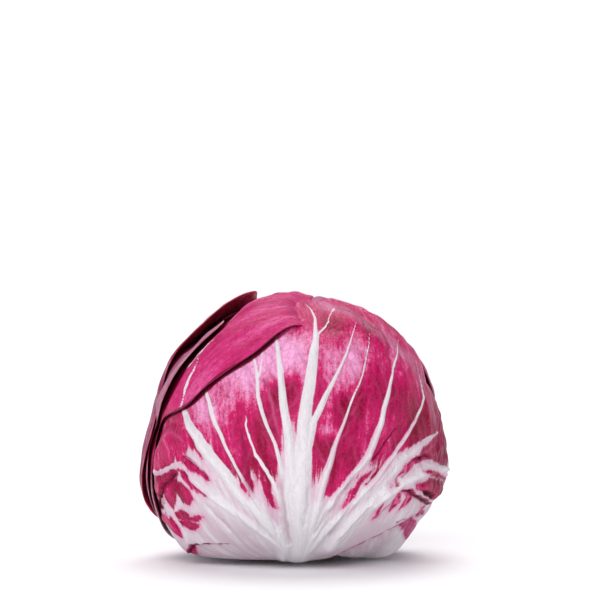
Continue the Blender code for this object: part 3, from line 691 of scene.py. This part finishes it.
def surface_marks(leaf, reach, bearing, radius):
    """Relief in millimetres, and values for bulge between ribs, white rib, faint vein, painted crease shade and
    patch.
    """
    relief, ribs_only, clear = rib_marks(leaf, reach, bearing, arc_length(reach, radius))
    own = moved = crumpled(reach, bearing)
    relief, white, clear, vein, wine = line_marks(leaf, *own, relief, ribs_only, clear)
    stain = np.full(reach.shape, FAR_OUTSIDE)
    if leaf.name == "inner_right_leaf":
        front_leaf = leaf_by_name("front_leaf")[0]
        moved = crumpled(*fan_place(front_leaf, fan_way(leaf, reach, bearing)))
    if leaf.name in ("front_leaf", "inner_right_leaf"):
        relief, white, wine, stain = zone_marks((reach, bearing), moved, ribs_only, relief, white, wine)
        relief, wine = fold_marks(moved, relief, wine)
        # The wrinkled far right, with painted shade over the side that turns from the light, darker along its
        # wrinkles
        side = smooth_step(60.0, 74.0, moved[1]) * smooth_step(66.0, 72.0, reach)
        side = side * (1.0 - smooth_step(98.0, 112.0, reach)) * (1.0 - smooth_step(-0.3, 0.2, white))
        wine = np.maximum(wine, side * (0.4 + 0.24 * ripple(bearing * 0.45, reach * 0.07, 72)))
        relief = relief + 0.3 * side * ripple(bearing * 0.4, reach * 0.06, 71)
    for line in random_veins(leaf):
        distance, passed, _ = line_distance(line.path, *own)
        vein = np.maximum(vein, line.white * (1.0 - 0.6 * passed) * np.exp(-(distance / 0.55) ** 2))
    bulge = 1.0 - np.exp(-(clear / 4.5) ** 2)
    return relief, bulge, white, vein, wine, stain


def leaf_grid(leaf):
    """Reach, bearing and direction of the leaf's grid points, with lightly ragged margins."""
    columns, rows = leaf.grid
    share = np.linspace(-1.0, 1.0, columns + 1)[None, :] + np.zeros((rows + 1, 1))
    along = np.linspace(-STRAP_SHARE, 1.0, rows + 1)[:, None] + np.zeros((1, columns + 1))
    climb = np.clip(along, 0.0, 1.0) ** ROW_BUNCHING
    ragged = 1.0 + 0.009 * ripple(climb * 7.0, share * 0.5, 5) * np.abs(share) ** 4
    if leaf.name == "front_leaf":
        low = 1.0 - smooth_step(0.28, 0.42, climb)
        ragged = ragged + 0.022 * low * ripple(climb * 26.0, share * 0.5, 6) * np.abs(share) ** 8
    end = tip_reach(leaf, share) + 0.8 * ripple(share * 6.0, climb * 0.2, 8) * climb ** 6
    reach = FAN_START + climb * (end - FAN_START)
    bearing = share * half_angle(leaf, reach, share) * ragged
    way = fan_way(leaf, reach, bearing)
    turn = np.radians(leaf.facing + leaf.root * share)
    tilt = math.radians(ROOT_TILT)
    root = np.stack([math.sin(tilt) * np.sin(turn), -math.sin(tilt) * np.cos(turn),
                     np.full(turn.shape, -math.cos(tilt))], axis=-1)
    strap = np.clip(1.0 + along / STRAP_SHARE, 0.0, 1.0)[..., None]
    way = root + (way - root) * strap
    return reach, bearing, way / np.linalg.norm(way, axis=-1, keepdims=True)


def place_in_head(way, radius):
    """Points at the given radii from the middle of the belly."""
    points = way * np.asarray(radius)[..., None]
    points[..., 2] += BELLY_HEIGHT
    return points * MM


def pigment_depth(leaf, reach, bearing):
    """Degrees of reach past the line where the blade's pigment begins, more of them where it begins sharply."""
    if leaf.name == "front_leaf":
        bearings, starts = np.array(FRONT_PIGMENT, dtype=float).T
        crisp = 1.0 + 3.0 * smooth_step(34.0, 48.0, np.abs(bearing))
        return crisp * (reach - np.interp(bearing, bearings, starts))
    return reach - 54.0 - 5.0 * ripple(bearing * 0.05, reach * 0.01, 21)


def blade_tone(leaf, reach, bearing):
    """From -1 on pale pink patches, partly painted sheen, to 1 on deep crimson ones."""
    if leaf.name != "front_leaf":
        return 0.45 * ripple(bearing * 0.045, reach * 0.022, int(leaf.facing) % 360)
    tone = 0.18 * ripple(bearing * 0.06, reach * 0.03, 4)
    for a, b, along, across, strength in FRONT_TONES_AND_SHEEN:
        tone = tone + strength * np.exp(-((reach - a) / along) ** 2 - ((bearing - b) / across) ** 2)
    return np.clip(tone, -1.2, 1.2)


def finished_piece(name, mesh, material):
    """A new object in the scene from a mesh."""
    mesh.materials.append(material)
    piece = bpy.data.objects.new(name, mesh)
    bpy.context.scene.collection.objects.link(piece)
    return piece


def smooth_mesh(name, builder):
    """A smooth mesh from a bmesh."""
    mesh = bpy.data.meshes.new(name)
    builder.to_mesh(mesh)
    builder.free()
    mesh.shade_smooth()
    return mesh


def stands_for(piece, name):
    """The piece takes the place of the CAD node."""
    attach(piece, "root")
    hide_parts(name)


def store_values(mesh, **values):
    """Keep numbers or vectors for each vertex, where the materials read them."""
    for name, value in values.items():
        kind = "FLOAT_VECTOR" if value.ndim == 2 else "FLOAT"
        layer = mesh.attributes.new(name, kind, "POINT")
        layer.data.foreach_set("vector" if value.ndim == 2 else "value", value.astype(np.float32).ravel())


def closed_sheet(name, outer, inner):
    """A closed leaf from the grid of its outer face and a coarser grid of its inner face."""
    rows, columns = outer.shape[0] - 1, outer.shape[1] - 1
    number = np.arange((rows + 1) * (columns + 1)).reshape(rows + 1, columns + 1)
    stride = INNER_STRIDE
    coarse = inner[::stride, ::stride]
    under = np.arange(coarse.shape[0] * coarse.shape[1]).reshape(coarse.shape[:2]) + number.size

    def quads(grid, flip):
        corners = [grid[:-1, :-1], grid[:-1, 1:], grid[1:, 1:], grid[1:, :-1]]
        return np.stack(corners[::-1] if flip else corners, axis=-1).reshape(-1, 4).tolist()

    def rim(grid):
        return np.concatenate([grid[0, :-1], grid[:-1, -1], grid[-1, :0:-1], grid[:0:-1, 0]]).tolist()

    faces = quads(number, False) + quads(under, True)
    fine, wide = rim(number), rim(under)
    for i, low in enumerate(wide):
        following = wide[(i + 1) % len(wide)]
        for j in range(stride):
            k = i * stride + j
            top, next_top = fine[k], fine[(k + 1) % len(fine)]
            faces.append([next_top, top, low if j < stride // 2 else following])
            if j == stride // 2:
                faces.append([top, low, following])
    mesh = bpy.data.meshes.new(name)
    mesh.from_pydata(np.concatenate([outer.reshape(-1, 3), coarse.reshape(-1, 3)]), [], faces)
    mesh.shade_smooth()
    return mesh


def make_leaf(name, material):
    """A fine leaf in the place of its plain solid, with the values that its material reads."""
    leaf, outer_leaves = leaf_by_name(name)
    reach, bearing, way = leaf_grid(leaf)
    ceiling, covered, clear = layer_under(outer_leaves, way)
    hidden = 1.0 - smooth_step(0.0, HIDDEN_FADE, clear)
    free = 1.0 - covered
    relief, bulge, white, vein, wine, stain = surface_marks(leaf, reach, bearing, ceiling)
    # Painted shadow: a dark red line on the leaf along and under the margin of each leaf over it, on the front leaf
    # only left of the midrib
    painted_margin_shadow = 0.9 * (1.0 - smooth_step(0.1, 1.0, clear))
    if name == "front_leaf":
        painted_margin_shadow = painted_margin_shadow * (1.0 - smooth_step(-9.0, -1.0, bearing))
    wine = np.maximum(wine, painted_margin_shadow)
    edge = margin_gap(leaf, reach, bearing) * DEGREE_MM
    underneath = 1.0 - 0.6 * smooth_step(0.55, 0.85, -way[..., 2])
    puckers = 0.3 * ripple(bearing * 0.08, reach * 0.05, 31) + 0.22 * ripple(bearing * 0.2, reach * 0.12, 32)
    puckers = (puckers + 0.55 * bulge) * smooth_step(48.0, 75.0, reach) * smooth_step(0.5, 6.0, edge)
    pressed = np.zeros_like(reach)
    if name == "left_leaf_a":
        below_tip = tip_reach(leaf, np.clip(bearing / half_angle(leaf, reach, bearing), -1.0, 1.0)) - reach
        pressed = (1.0 - smooth_step(0.0, PRESSED_LENGTH, below_tip)) * smooth_step(0.0, 0.3, bearing / 70.0)
    lift = margin_lift(leaf, reach, bearing) * (1.0 - pressed)
    blade = ceiling + free * (lift + puckers) - PRESSED_DEPTH * pressed
    at_edge = 0.3 + 0.7 * smooth_step(0.2, 2.5, edge)
    outer = place_in_head(way, blade + relief * (1.0 - 0.7 * hidden) * underneath * at_edge)
    thin = 0.4 + 0.6 * smooth_step(0.0, THIN_MARGIN, edge)
    inner = place_in_head(way, blade - thickness(leaf, reach, bearing) * thin)
    piece = finished_piece(name + "_fine", closed_sheet(name + "_fine", outer, inner), material)

    def both(value):
        return np.concatenate([value.ravel(), value[::INNER_STRIDE, ::INNER_STRIDE].ravel()])

    side = np.concatenate([np.zeros(reach.size), np.ones(reach[::INNER_STRIDE, ::INNER_STRIDE].size)])
    band = np.zeros_like(reach)
    if name == "front_leaf":
        # Painted sheen: greyed along the band on the upper right and more faintly over the far right side
        band = 1.0 - smooth_step(1.5, 6.0, line_distance(FRONT_SHEEN_BAND, reach, bearing)[0])
        band = np.maximum(band, 0.45 * smooth_step(58.0, 68.0, bearing) * smooth_step(84.0, 96.0, reach))
    fan = np.stack([both(bearing), both(reach), np.full(side.shape, leaf.facing)], axis=-1)
    store_values(piece.data, rib=both(white), valley=both(bulge), vein=both(vein), wine=both(wine), stain=both(stain),
                 rim=both(np.where(pressed > 0.02, 9.0, edge)), inner_side=side, band=both(band), fan=fan,
                 pigment=both(pigment_depth(leaf, reach, bearing)), tone=both(blade_tone(leaf, reach, bearing)))
    stands_for(piece, name)


def colour(code):
    """Linear colour from an sRGB hex value, or from a colour of the panel, which is linear already."""
    if not isinstance(code, str):
        return (*code, 1.0)
    parts = [int(code[i:i + 2], 16) / 255.0 for i in (1, 3, 5)]
    linear = [c / 12.92 if c <= 0.04045 else ((c + 0.055) / 1.055) ** 2.4 for c in parts]
    return (*linear, 1.0)


def add_node(tree, kind, inputs=(), output=0, **settings):
    """Add a shader node with its settings, fill its inputs with values or links, and give one of its outputs."""
    node = tree.nodes.new("ShaderNode" + kind)
    for key, value in settings.items():
        setattr(node, key, value)
    for key, value in inputs.items() if isinstance(inputs, dict) else enumerate(inputs):
        if isinstance(value, bpy.types.NodeSocket):
            tree.links.new(value, node.inputs[key])
        else:
            node.inputs[key].default_value = value
    return node.outputs[output] if len(node.outputs) else None


def new_material(name):
    """An empty node material, and what adds a node to it."""
    material = bpy.data.materials.new(name)
    material.use_nodes = True
    material.node_tree.nodes.clear()
    return material, partial(add_node, material.node_tree)


def leaf_material(name, pale, mid, deep, grey=0.0, rim="#B0607A", inner="#5E0A26", rim_width=1.0):
    """Radicchio leaf, grown and washed: waxy satin blade, white watery ribs, pigment that ends in feathers."""
    look = bpy.context.scene.radicchio_look
    material, add = new_material(name)
    eased = {"interpolation_type": "SMOOTHSTEP"}
    fan = add("Attribute", output="Vector", attribute_name="fan")
    value = {key: add("Attribute", output="Fac", attribute_name=key) for key in (
        "rib", "valley", "vein", "wine", "stain", "rim", "inner_side", "band", "pigment", "tone")}

    def drawn_out(wide, long, detail, roughness=0.6):
        """A pattern drawn out along the ribs, as wide and long as given in degrees of the fan, about 1 mm each."""
        way = add("Mapping", {"Vector": fan, "Scale": (1.0 / wide, 1.0 / long, 1.0)})
        return add("TexNoise", {"Vector": way, "Scale": 1.0, "Detail": detail, "Roughness": roughness}, "Fac")

    def stirred(base, *patterns):
        """A value with patterns added at their strengths, each about its own middle."""
        for source, strength in patterns:
            swing = add("Math", (source, strength, -0.5 * strength), operation="MULTIPLY_ADD")
            base = add("Math", (base, swing), operation="ADD")
        return base

    def coated(base, *coats):
        """A colour with others laid over it in turn, each as far as its factor says."""
        for factor, coat in coats:
            base = add("Mix", {0: factor, 6: base, 7: coat}, 2, data_type="RGBA")
        return base

    # Fibres 1.4 mm across and 13 mm long, washes of colour 5 by 24 mm, blotches of 2 mm, flecks of 1 mm and cells
    # of 0.6 mm. The real fibres and cells are several times finer, which wouldn't show
    streaks = drawn_out(1.4, 13.0, 4.0)
    washes = drawn_out(5.0, 24.0, 3.0)
    cells = drawn_out(0.55, 0.6, 3.0, 0.65)
    blotches = drawn_out(1.9, 2.6, 4.0, 0.7)
    flecks = drawn_out(0.8, 1.5, 3.0, 0.75)

    # Where the ribs are, where the pigment has come down to and where patches have it
    rib_mask = add("MapRange", (stirred(value["rib"], (streaks, 0.7), (cells, 0.5)), -0.22, 0.22), **eased)
    off_ribs = add("Math", (1.0, rib_mask), operation="SUBTRACT")
    pigment = stirred(value["pigment"], (streaks, 24.0), (washes, 30.0), (cells, 9.0))
    pigment_mask = add("MapRange", (pigment, -2.5, 3.5), **eased)
    stain_mask = add("MapRange", (stirred(value["stain"], (streaks, 1.8), (cells, 1.6)), -0.4, 0.4), **eased)
    coloured = add("Math", (pigment_mask, off_ribs), operation="MULTIPLY")
    coloured = add("Math", (coloured, stain_mask), operation="MAXIMUM")

    # Net of the finest veins, its meshes a few millimetres wide
    warp = add("TexNoise", {"Vector": fan, "Scale": 0.4, "Detail": 3.0}, "Color")
    bent = add("VectorMath", (warp, (3.2, 3.2, 0.0), fan), operation="MULTIPLY_ADD")
    net_way = add("Mapping", {"Vector": bent, "Scale": (1.0, 0.7, 1.0)})
    net = add("TexVoronoi", {"Vector": net_way, "Scale": 1.1 / look.net_mesh}, "Distance", feature="DISTANCE_TO_EDGE")
    net_mask = add("MapRange", (net, 0.0, 0.14, 1.0, 0.0), **eased)

    # Blade between the ribs, from pale to deep; on the front leaf the pale is partly painted sheen, and the greyed
    # band over it is painted sheen
    tone = stirred(value["tone"], (washes, 2.0), (streaks, 1.3), (blotches, 1.6), (cells, 1.1))
    ramp = add("ValToRGB", (add("MapRange", (tone, -1.3, 1.2), **eased),))
    stops = ramp.node.color_ramp.elements
    stops[0].position, stops[0].color = 0.0, colour(pale)
    stops[1].position, stops[1].color = 1.0, colour(deep)
    stops.new(0.5).color = colour(mid)
    deepness = add("MapRange", (tone, -0.4, 0.8), **eased)
    net_shows = add("Math", (net_mask, look.net_strength), operation="MULTIPLY")
    vein_fade = add("MapRange", (tone, -0.3, 0.9, 0.7, 0.35), **eased)
    vein_shows = add("Math", (value["vein"], vein_fade), operation="MULTIPLY")
    band_streaks = add("MapRange", (streaks, 0.3, 0.7, 0.15, 0.6), **eased)
    band_shows = add("Math", (value["band"], band_streaks), operation="MULTIPLY")
    fleck_shows = add("MapRange", (flecks, 0.44, 0.3, 0.0, 0.42), **eased)
    blade = coated(ramp, (net_shows, coated(colour(NET_ON_PALE), (deepness, colour(NET_ON_DEEP)))),
                   (vein_shows, coated(colour(VEIN_ON_PALE), (deepness, colour(VEIN_ON_DEEP)))),
                   (band_shows, colour(PAINTED_SHEEN_GREY)), (fleck_shows, colour(FLECK)), (grey, colour(GREYED_BLADE)))

    # Ribs and base, greyed between the ribs as painted shade in the valleys, and blushed where pigment is near
    valley_shade_washes = add("MapRange", (washes, 0.25, 0.6), **eased)
    between = add("Math", (value["valley"], valley_shade_washes), operation="MULTIPLY")
    near_pigment = add("MapRange", (pigment, -18.0, -2.0, 0.0, 0.5), **eased)
    near_pigment = add("Math", (near_pigment, off_ribs), operation="MULTIPLY")
    near_stain = add("Math", (value["stain"], streaks), operation="ADD")
    near_stain = add("MapRange", (near_stain, -2.0, 0.6, 0.0, 0.6), **eased)
    blush = add("Math", (near_pigment, near_stain), operation="MAXIMUM")
    fibres = add("MapRange", (streaks, 0.4, 0.8, 0.0, 0.3), **eased)
    white = coated(colour(look.rib_colour), (between, colour(BETWEEN_RIBS_SHADE)), (fibres, colour(RIB_FIBRE)),
                   (blush, colour(BLUSH)))

    # Margins, painted dark red shade in creases, grooves and under margins, and the dull inner face
    rim_shows = add("MapRange", (value["rim"], 0.3 * rim_width, rim_width, 0.9, 0.0), **eased)
    wine_shade_shows = add("MapRange", (value["wine"], 0.0, 0.4, 0.0, 0.85), **eased)
    deep_shade_shows = add("MapRange", (value["wine"], 0.25, 1.0), **eased)
    lining_fibres = add("MapRange", (add("Math", (streaks, cells), operation="ADD"), 0.8, 1.25), **eased)
    lining = coated(colour(inner), (lining_fibres, colour(LINING_FIBRE)))
    skin = coated(white, (coloured, blade), (rim_shows, colour(rim)), (wine_shade_shows, colour(WINE_SHADE)),
                  (deep_shade_shows, colour(DEEP_CREASE_SHADE)),
                  (value["inner_side"], coated(colour(LINING_BASE), (pigment_mask, lining))))

    height = add("Math", (net_mask, -0.3, add("Math", (cells, 0.35), operation="MULTIPLY")), operation="MULTIPLY_ADD")
    height = add("Math", (streaks, 0.7, height), operation="MULTIPLY_ADD")
    bump = add("Bump", {"Strength": 0.7, "Distance": 0.0007, "Height": height})
    rough = add("Math", (coloured, -0.05, 0.33), operation="MULTIPLY_ADD")
    rough = add("Math", (cells, 0.14, rough), operation="MULTIPLY_ADD")
    surface = add("BsdfPrincipled", {
        "Base Color": skin, "Roughness": rough, "IOR": 1.42, "Specular IOR Level": 0.14,
        "Subsurface Weight": 0.06, "Subsurface Radius": (0.9, 0.35, 0.45), "Subsurface Scale": 0.0015,
        "Normal": bump})
    add("OutputMaterial", {"Surface": surface})
    return material


def flesh_material():
    """Stem flesh, cut with a knife: ivory and moist in the middle, browned where the cut rim has dried."""
    material, add = new_material("cut_stem_flesh")
    place = add("TexCoord", output="Object")
    flat = add("VectorMath", (place, (1.0, 1.0, 0.0)), operation="MULTIPLY")
    radius = add("VectorMath", (flat,), "Value", operation="LENGTH")
    # Strands of flesh about 2.4 mm apart
    mottle = add("TexNoise", {"Vector": place, "Scale": 420.0, "Detail": 5.0}, "Fac")
    uneven = add("Math", (mottle, 0.005, radius), operation="MULTIPLY_ADD")
    ramp = add("ValToRGB", (add("MapRange", (uneven, 0.0, 0.018)),))
    stops = ramp.node.color_ramp.elements
    stops[0].position, stops[0].color = 0.15, colour("#D9C9A4")
    stops[1].position, stops[1].color = 1.0, colour("#9A7350")
    for position, code in ((0.55, "#C8B08A"), (0.75, "#DCCBB0")):
        stops.new(position).color = colour(code)
    bump = add("Bump", {"Strength": 0.5, "Distance": 0.0004, "Height": mottle})
    surface = add("BsdfPrincipled", {"Base Color": ramp, "Roughness": 0.62, "Normal": bump})
    add("OutputMaterial", {"Surface": surface})
    return material


class RadicchioSizes(bpy.types.PropertyGroup):
    """Sizes of the stage and the segments of the stem."""

    camera_distance: bpy.props.FloatProperty(
        name="Camera distance", description="From the lens to the middle of the head", default=0.9,
        min=0.3, unit="LENGTH")
    floor_size: bpy.props.FloatProperty(
        name="Floor size", description="Width of the floor", default=6.0, min=1.0, unit="LENGTH")
    stem_rings: bpy.props.IntProperty(
        name="Stem segments", description="Segments round the cut stem", default=96, min=24)


def leaf_colour(name, description, code):
    """A colour of the panel."""
    return bpy.props.FloatVectorProperty(name=name, description=description, subtype="COLOR", size=3,
                                         min=0.0, max=1.0, default=colour(code)[:3])


class RadicchioLook(bpy.types.PropertyGroup):
    """Colours and fine patterns of the leaves."""

    rib_colour: leaf_colour("Ribs", "Colour of the ribs and the leaf bases", "#DEDADF")
    # The front leaf's pale patches are partly paler pigment and partly painted sheen
    blade_pale_sheen: leaf_colour("Pale blade", "Colour of the front leaf's pale patches", "#F0A6D4")
    blade_mid: leaf_colour("Blade", "Colour of the front leaf between its pale and deep patches", "#CA1A66")
    blade_deep: leaf_colour("Deep blade", "Colour of the front leaf's deep patches", "#82002A")
    net_mesh: bpy.props.FloatProperty(
        name="Vein net", description="Width of the mesh of fine veins, in millimetres", default=2.4, min=0.5)
    net_strength: bpy.props.FloatProperty(
        name="Vein net strength", description="How far the net darkens the blade", default=0.22,
        min=0.0, max=1.0, subtype="FACTOR")


class RADICCHIO_OT_front_leaf(bpy.types.Operator):
    """Grow the front leaf with its fan of white ribs"""

    bl_idname = "radicchio.front_leaf"
    bl_label = "Front leaf"

    def execute(self, context):
        look = context.scene.radicchio_look
        make_leaf("front_leaf", leaf_material("radicchio_leaf_front", look.blade_pale_sheen, look.blade_mid,
                                              look.blade_deep))
        return {"FINISHED"}


class RADICCHIO_OT_left_leaves(bpy.types.Operator):
    """Grow the three leaves that overlap at the left"""

    bl_idname = "radicchio.left_leaves"
    bl_label = "Left leaves"

    def execute(self, context):
        # Its dark rim is partly the margin's own colour and partly painted shade of the crevice under it
        make_leaf("left_leaf_a", leaf_material("radicchio_leaf_left", "#DE6CA8", "#CC2E74", "#A40A48",
                                               rim="#74103A", rim_width=0.8))
        make_leaf("left_leaf_b", leaf_material("radicchio_leaf_dull", "#C796A8", "#B06A88", "#96406A", 0.3,
                                               rim="#E2A6AC", inner="#BC1E4E"))
        make_leaf("outer_left_leaf", leaf_material("radicchio_leaf_wine", "#B0557F", "#8E2E58", "#6C1234",
                                                   rim="#C88A98", inner="#C8183F"))
        return {"FINISHED"}


class RADICCHIO_OT_hidden_leaves(bpy.types.Operator):
    """Grow the right wrapper and the inner leaves"""

    bl_idname = "radicchio.hidden_leaves"
    bl_label = "Right and inner leaves"

    def execute(self, context):
        material = leaf_material("radicchio_leaf_common", "#D084AC", "#B94478", "#98204E", 0.15)
        for name in ("right_leaf", "inner_back_leaf", "inner_left_leaf", "inner_right_leaf"):
            make_leaf(name, material)
        return {"FINISHED"}


class RADICCHIO_OT_heart(bpy.types.Operator):
    """Pack the heart under the leaves"""

    bl_idname = "radicchio.heart"
    bl_label = "Heart"

    def execute(self, context):
        builder = bmesh.new()
        bmesh.ops.create_uvsphere(builder, u_segments=128, v_segments=96, radius=1.0)
        way = np.array([v.co.normalized() for v in builder.verts])
        ceiling = layer_under(LEAVES, way)[0]
        turn = np.arctan2(way[:, 0], -way[:, 1]) / (2.0 * math.pi)
        wrap = (HEART_WRAPS * turn + 0.9 * way[:, 2]) % 1.0
        upright = smooth_step(0.0, 0.25, np.hypot(way[:, 0], way[:, 1]))
        points = place_in_head(way, ceiling - LEAF_GAP - HEART_STEP * wrap * upright)
        points[:, 2] = np.maximum(points[:, 2], (STEM_TOP + 0.35) * MM)
        for v, point in zip(builder.verts, points):
            v.co = point
        material = leaf_material("radicchio_heart", "#E3B4CC", "#C9588C", "#A91F58")
        piece = finished_piece("heart_fine", smooth_mesh("heart_fine", builder), material)
        reach = np.degrees(np.arccos(np.clip(-way[:, 2], -1.0, 1.0)))
        far, none = np.full(len(way), 9.0), np.zeros(len(way))
        bearing = (wrap - 0.5) * 70.0
        rib = 2.4 - np.abs(bearing) * 0.25 - 0.02 * reach
        store_values(piece.data, rib=rib, valley=none, vein=none, wine=none, stain=-far, rim=far, inner_side=none,
                     band=none, pigment=reach - 62.0, tone=0.4 * ripple(bearing * 0.05, reach * 0.02, 3),
                     fan=np.stack([bearing, reach, far], axis=-1))
        stands_for(piece, "heart")
        return {"FINISHED"}


class RADICCHIO_OT_stem(bpy.types.Operator):
    """Turn the cut stem that the head stands on"""

    bl_idname = "radicchio.stem"
    bl_label = "Cut stem"

    def execute(self, context):
        rounds = context.scene.radicchio_sizes.stem_rings
        profile = [(0.0, STEM_TOP), (6.0, STEM_TOP), (11.0, STEM_TOP), (STEM_RADIUS - 0.4, STEM_TOP),
                   (STEM_RADIUS, STEM_TOP - 0.5), (STEM_RADIUS - 0.1, 3.2), (CUT_RADIUS + 0.3, 2.0),
                   (CUT_RADIUS, CUT_BEVEL), (CUT_RADIUS - 0.2, 0.15), (CUT_RADIUS - CUT_BEVEL, 0.0),
                   (11.0, 0.0), (7.0, 0.0), (3.0, 0.0), (0.0, 0.0)]
        builder = bmesh.new()
        line = [builder.verts.new((r * MM, 0.0, z * MM)) for r, z in profile]
        edges = [builder.edges.new(pair) for pair in zip(line, line[1:])]
        bmesh.ops.spin(builder, geom=line + edges, cent=(0, 0, 0), axis=(0, 0, 1), angle=2.0 * math.pi,
                       steps=rounds, use_duplicate=False)
        bmesh.ops.remove_doubles(builder, verts=builder.verts, dist=1e-6)
        for v in builder.verts:
            turn = math.atan2(v.co.y, v.co.x)
            wall = smooth_step(0.1 * MM, 1.5 * MM, v.co.z)
            swell = 1.0 + 0.012 * wall * math.sin(7.0 * turn + 0.6) + 0.008 * wall * math.sin(17.0 * turn)
            v.co.x *= swell
            v.co.y *= swell
        bmesh.ops.recalc_face_normals(builder, faces=builder.faces)
        piece = finished_piece("stem_butt_fine", smooth_mesh("stem_butt_fine", builder), flesh_material())
        stands_for(piece, "stem_butt")
        return {"FINISHED"}


class RADICCHIO_OT_stage(bpy.types.Operator):
    """Lay the pale floor and set the studio light and the camera"""

    bl_idname = "radicchio.stage"
    bl_label = "Floor, light and camera"

    def execute(self, context):
        sizes = context.scene.radicchio_sizes
        scene = context.scene
        builder = bmesh.new()
        bmesh.ops.create_grid(builder, x_segments=4, y_segments=4, size=sizes.floor_size / 2.0)
        # Matt white studio paper, without gloss
        material, add = new_material("matt_white_paper")
        paper = add("BsdfPrincipled", {"Base Color": colour("#FAF9FB"), "Roughness": 0.9, "Specular IOR Level": 0.1})
        add("OutputMaterial", {"Surface": paper})
        finished_piece("paper_floor", smooth_mesh("paper_floor", builder), material)

        # Bright white walls round the table and a dimmer ceiling
        world = bpy.data.worlds.new("studio")
        world.use_nodes = True
        tree = world.node_tree
        upward = add_node(tree, "SeparateXYZ", (add_node(tree, "TexCoord", output="Generated"),), "Z")
        walls = add_node(tree, "MapRange", (upward, 0.12, 0.45, 1.02, 0.12), interpolation_type="SMOOTHSTEP")
        tree.links.new(walls, tree.nodes["Background"].inputs["Strength"])
        tree.nodes["Background"].inputs["Color"].default_value = colour("#FFFFFF")
        scene.world = world
        for name, turn, rise, spread, power in STUDIO_LIGHTS:
            light = bpy.data.lights.new(name, "SUN")
            light.angle, light.energy = math.radians(spread), power
            lamp = bpy.data.objects.new(name, light)
            a, e = math.radians(turn), math.radians(rise)
            source = Vector((math.sin(a) * math.cos(e), -math.cos(a) * math.cos(e), math.sin(e)))
            lamp.location = source
            lamp.rotation_euler = source.to_track_quat("Z", "Y").to_euler()
            scene.collection.objects.link(lamp)

        lens = bpy.data.cameras.new("camera")
        lens.sensor_width = SENSOR_WIDTH
        lens.lens = LENS_LENGTH
        lens.clip_start = 0.01
        camera = bpy.data.objects.new("camera", lens)
        rise = math.radians(CAMERA_RISE)
        back = Vector((0.0, -math.cos(rise), math.sin(rise)))
        camera.location = Vector(HEAD_MIDDLE) + sizes.camera_distance * back
        camera.rotation_euler = (Vector(AIM) - camera.location).to_track_quat("-Z", "Y").to_euler()
        scene.collection.objects.link(camera)
        scene.camera = camera
        scene.view_settings.view_transform = "Standard"
        return {"FINISHED"}


class RADICCHIO_PT_panel(bpy.types.Panel):
    """Steps and settings of the radicchio head"""

    bl_idname = "RADICCHIO_PT_panel"
    bl_label = "Radicchio"
    bl_space_type = "VIEW_3D"
    bl_region_type = "UI"
    bl_category = "Radicchio"

    def draw(self, context):
        for group in (context.scene.radicchio_sizes, context.scene.radicchio_look):
            for key in group.__annotations__:
                self.layout.prop(group, key)
        for step in STEPS:
            self.layout.operator(step.bl_idname)


STEPS = (RADICCHIO_OT_front_leaf, RADICCHIO_OT_left_leaves, RADICCHIO_OT_hidden_leaves, RADICCHIO_OT_heart,
         RADICCHIO_OT_stem, RADICCHIO_OT_stage)
CLASSES = (RadicchioSizes, RadicchioLook) + STEPS + (RADICCHIO_PT_panel,)


def register():
    for kind in CLASSES:
        bpy.utils.register_class(kind)
    bpy.types.Scene.radicchio_sizes = bpy.props.PointerProperty(type=RadicchioSizes)
    bpy.types.Scene.radicchio_look = bpy.props.PointerProperty(type=RadicchioLook)


def unregister():
    del bpy.types.Scene.radicchio_look
    del bpy.types.Scene.radicchio_sizes
    for kind in reversed(CLASSES):
        bpy.utils.unregister_class(kind)


def main():
    register()
    bpy.ops.radicchio.front_leaf()
    bpy.ops.radicchio.left_leaves()
    bpy.ops.radicchio.hidden_leaves()
    bpy.ops.radicchio.heart()
    bpy.ops.radicchio.stem()
    bpy.ops.radicchio.stage()


if __name__ == "__main__":
    main()
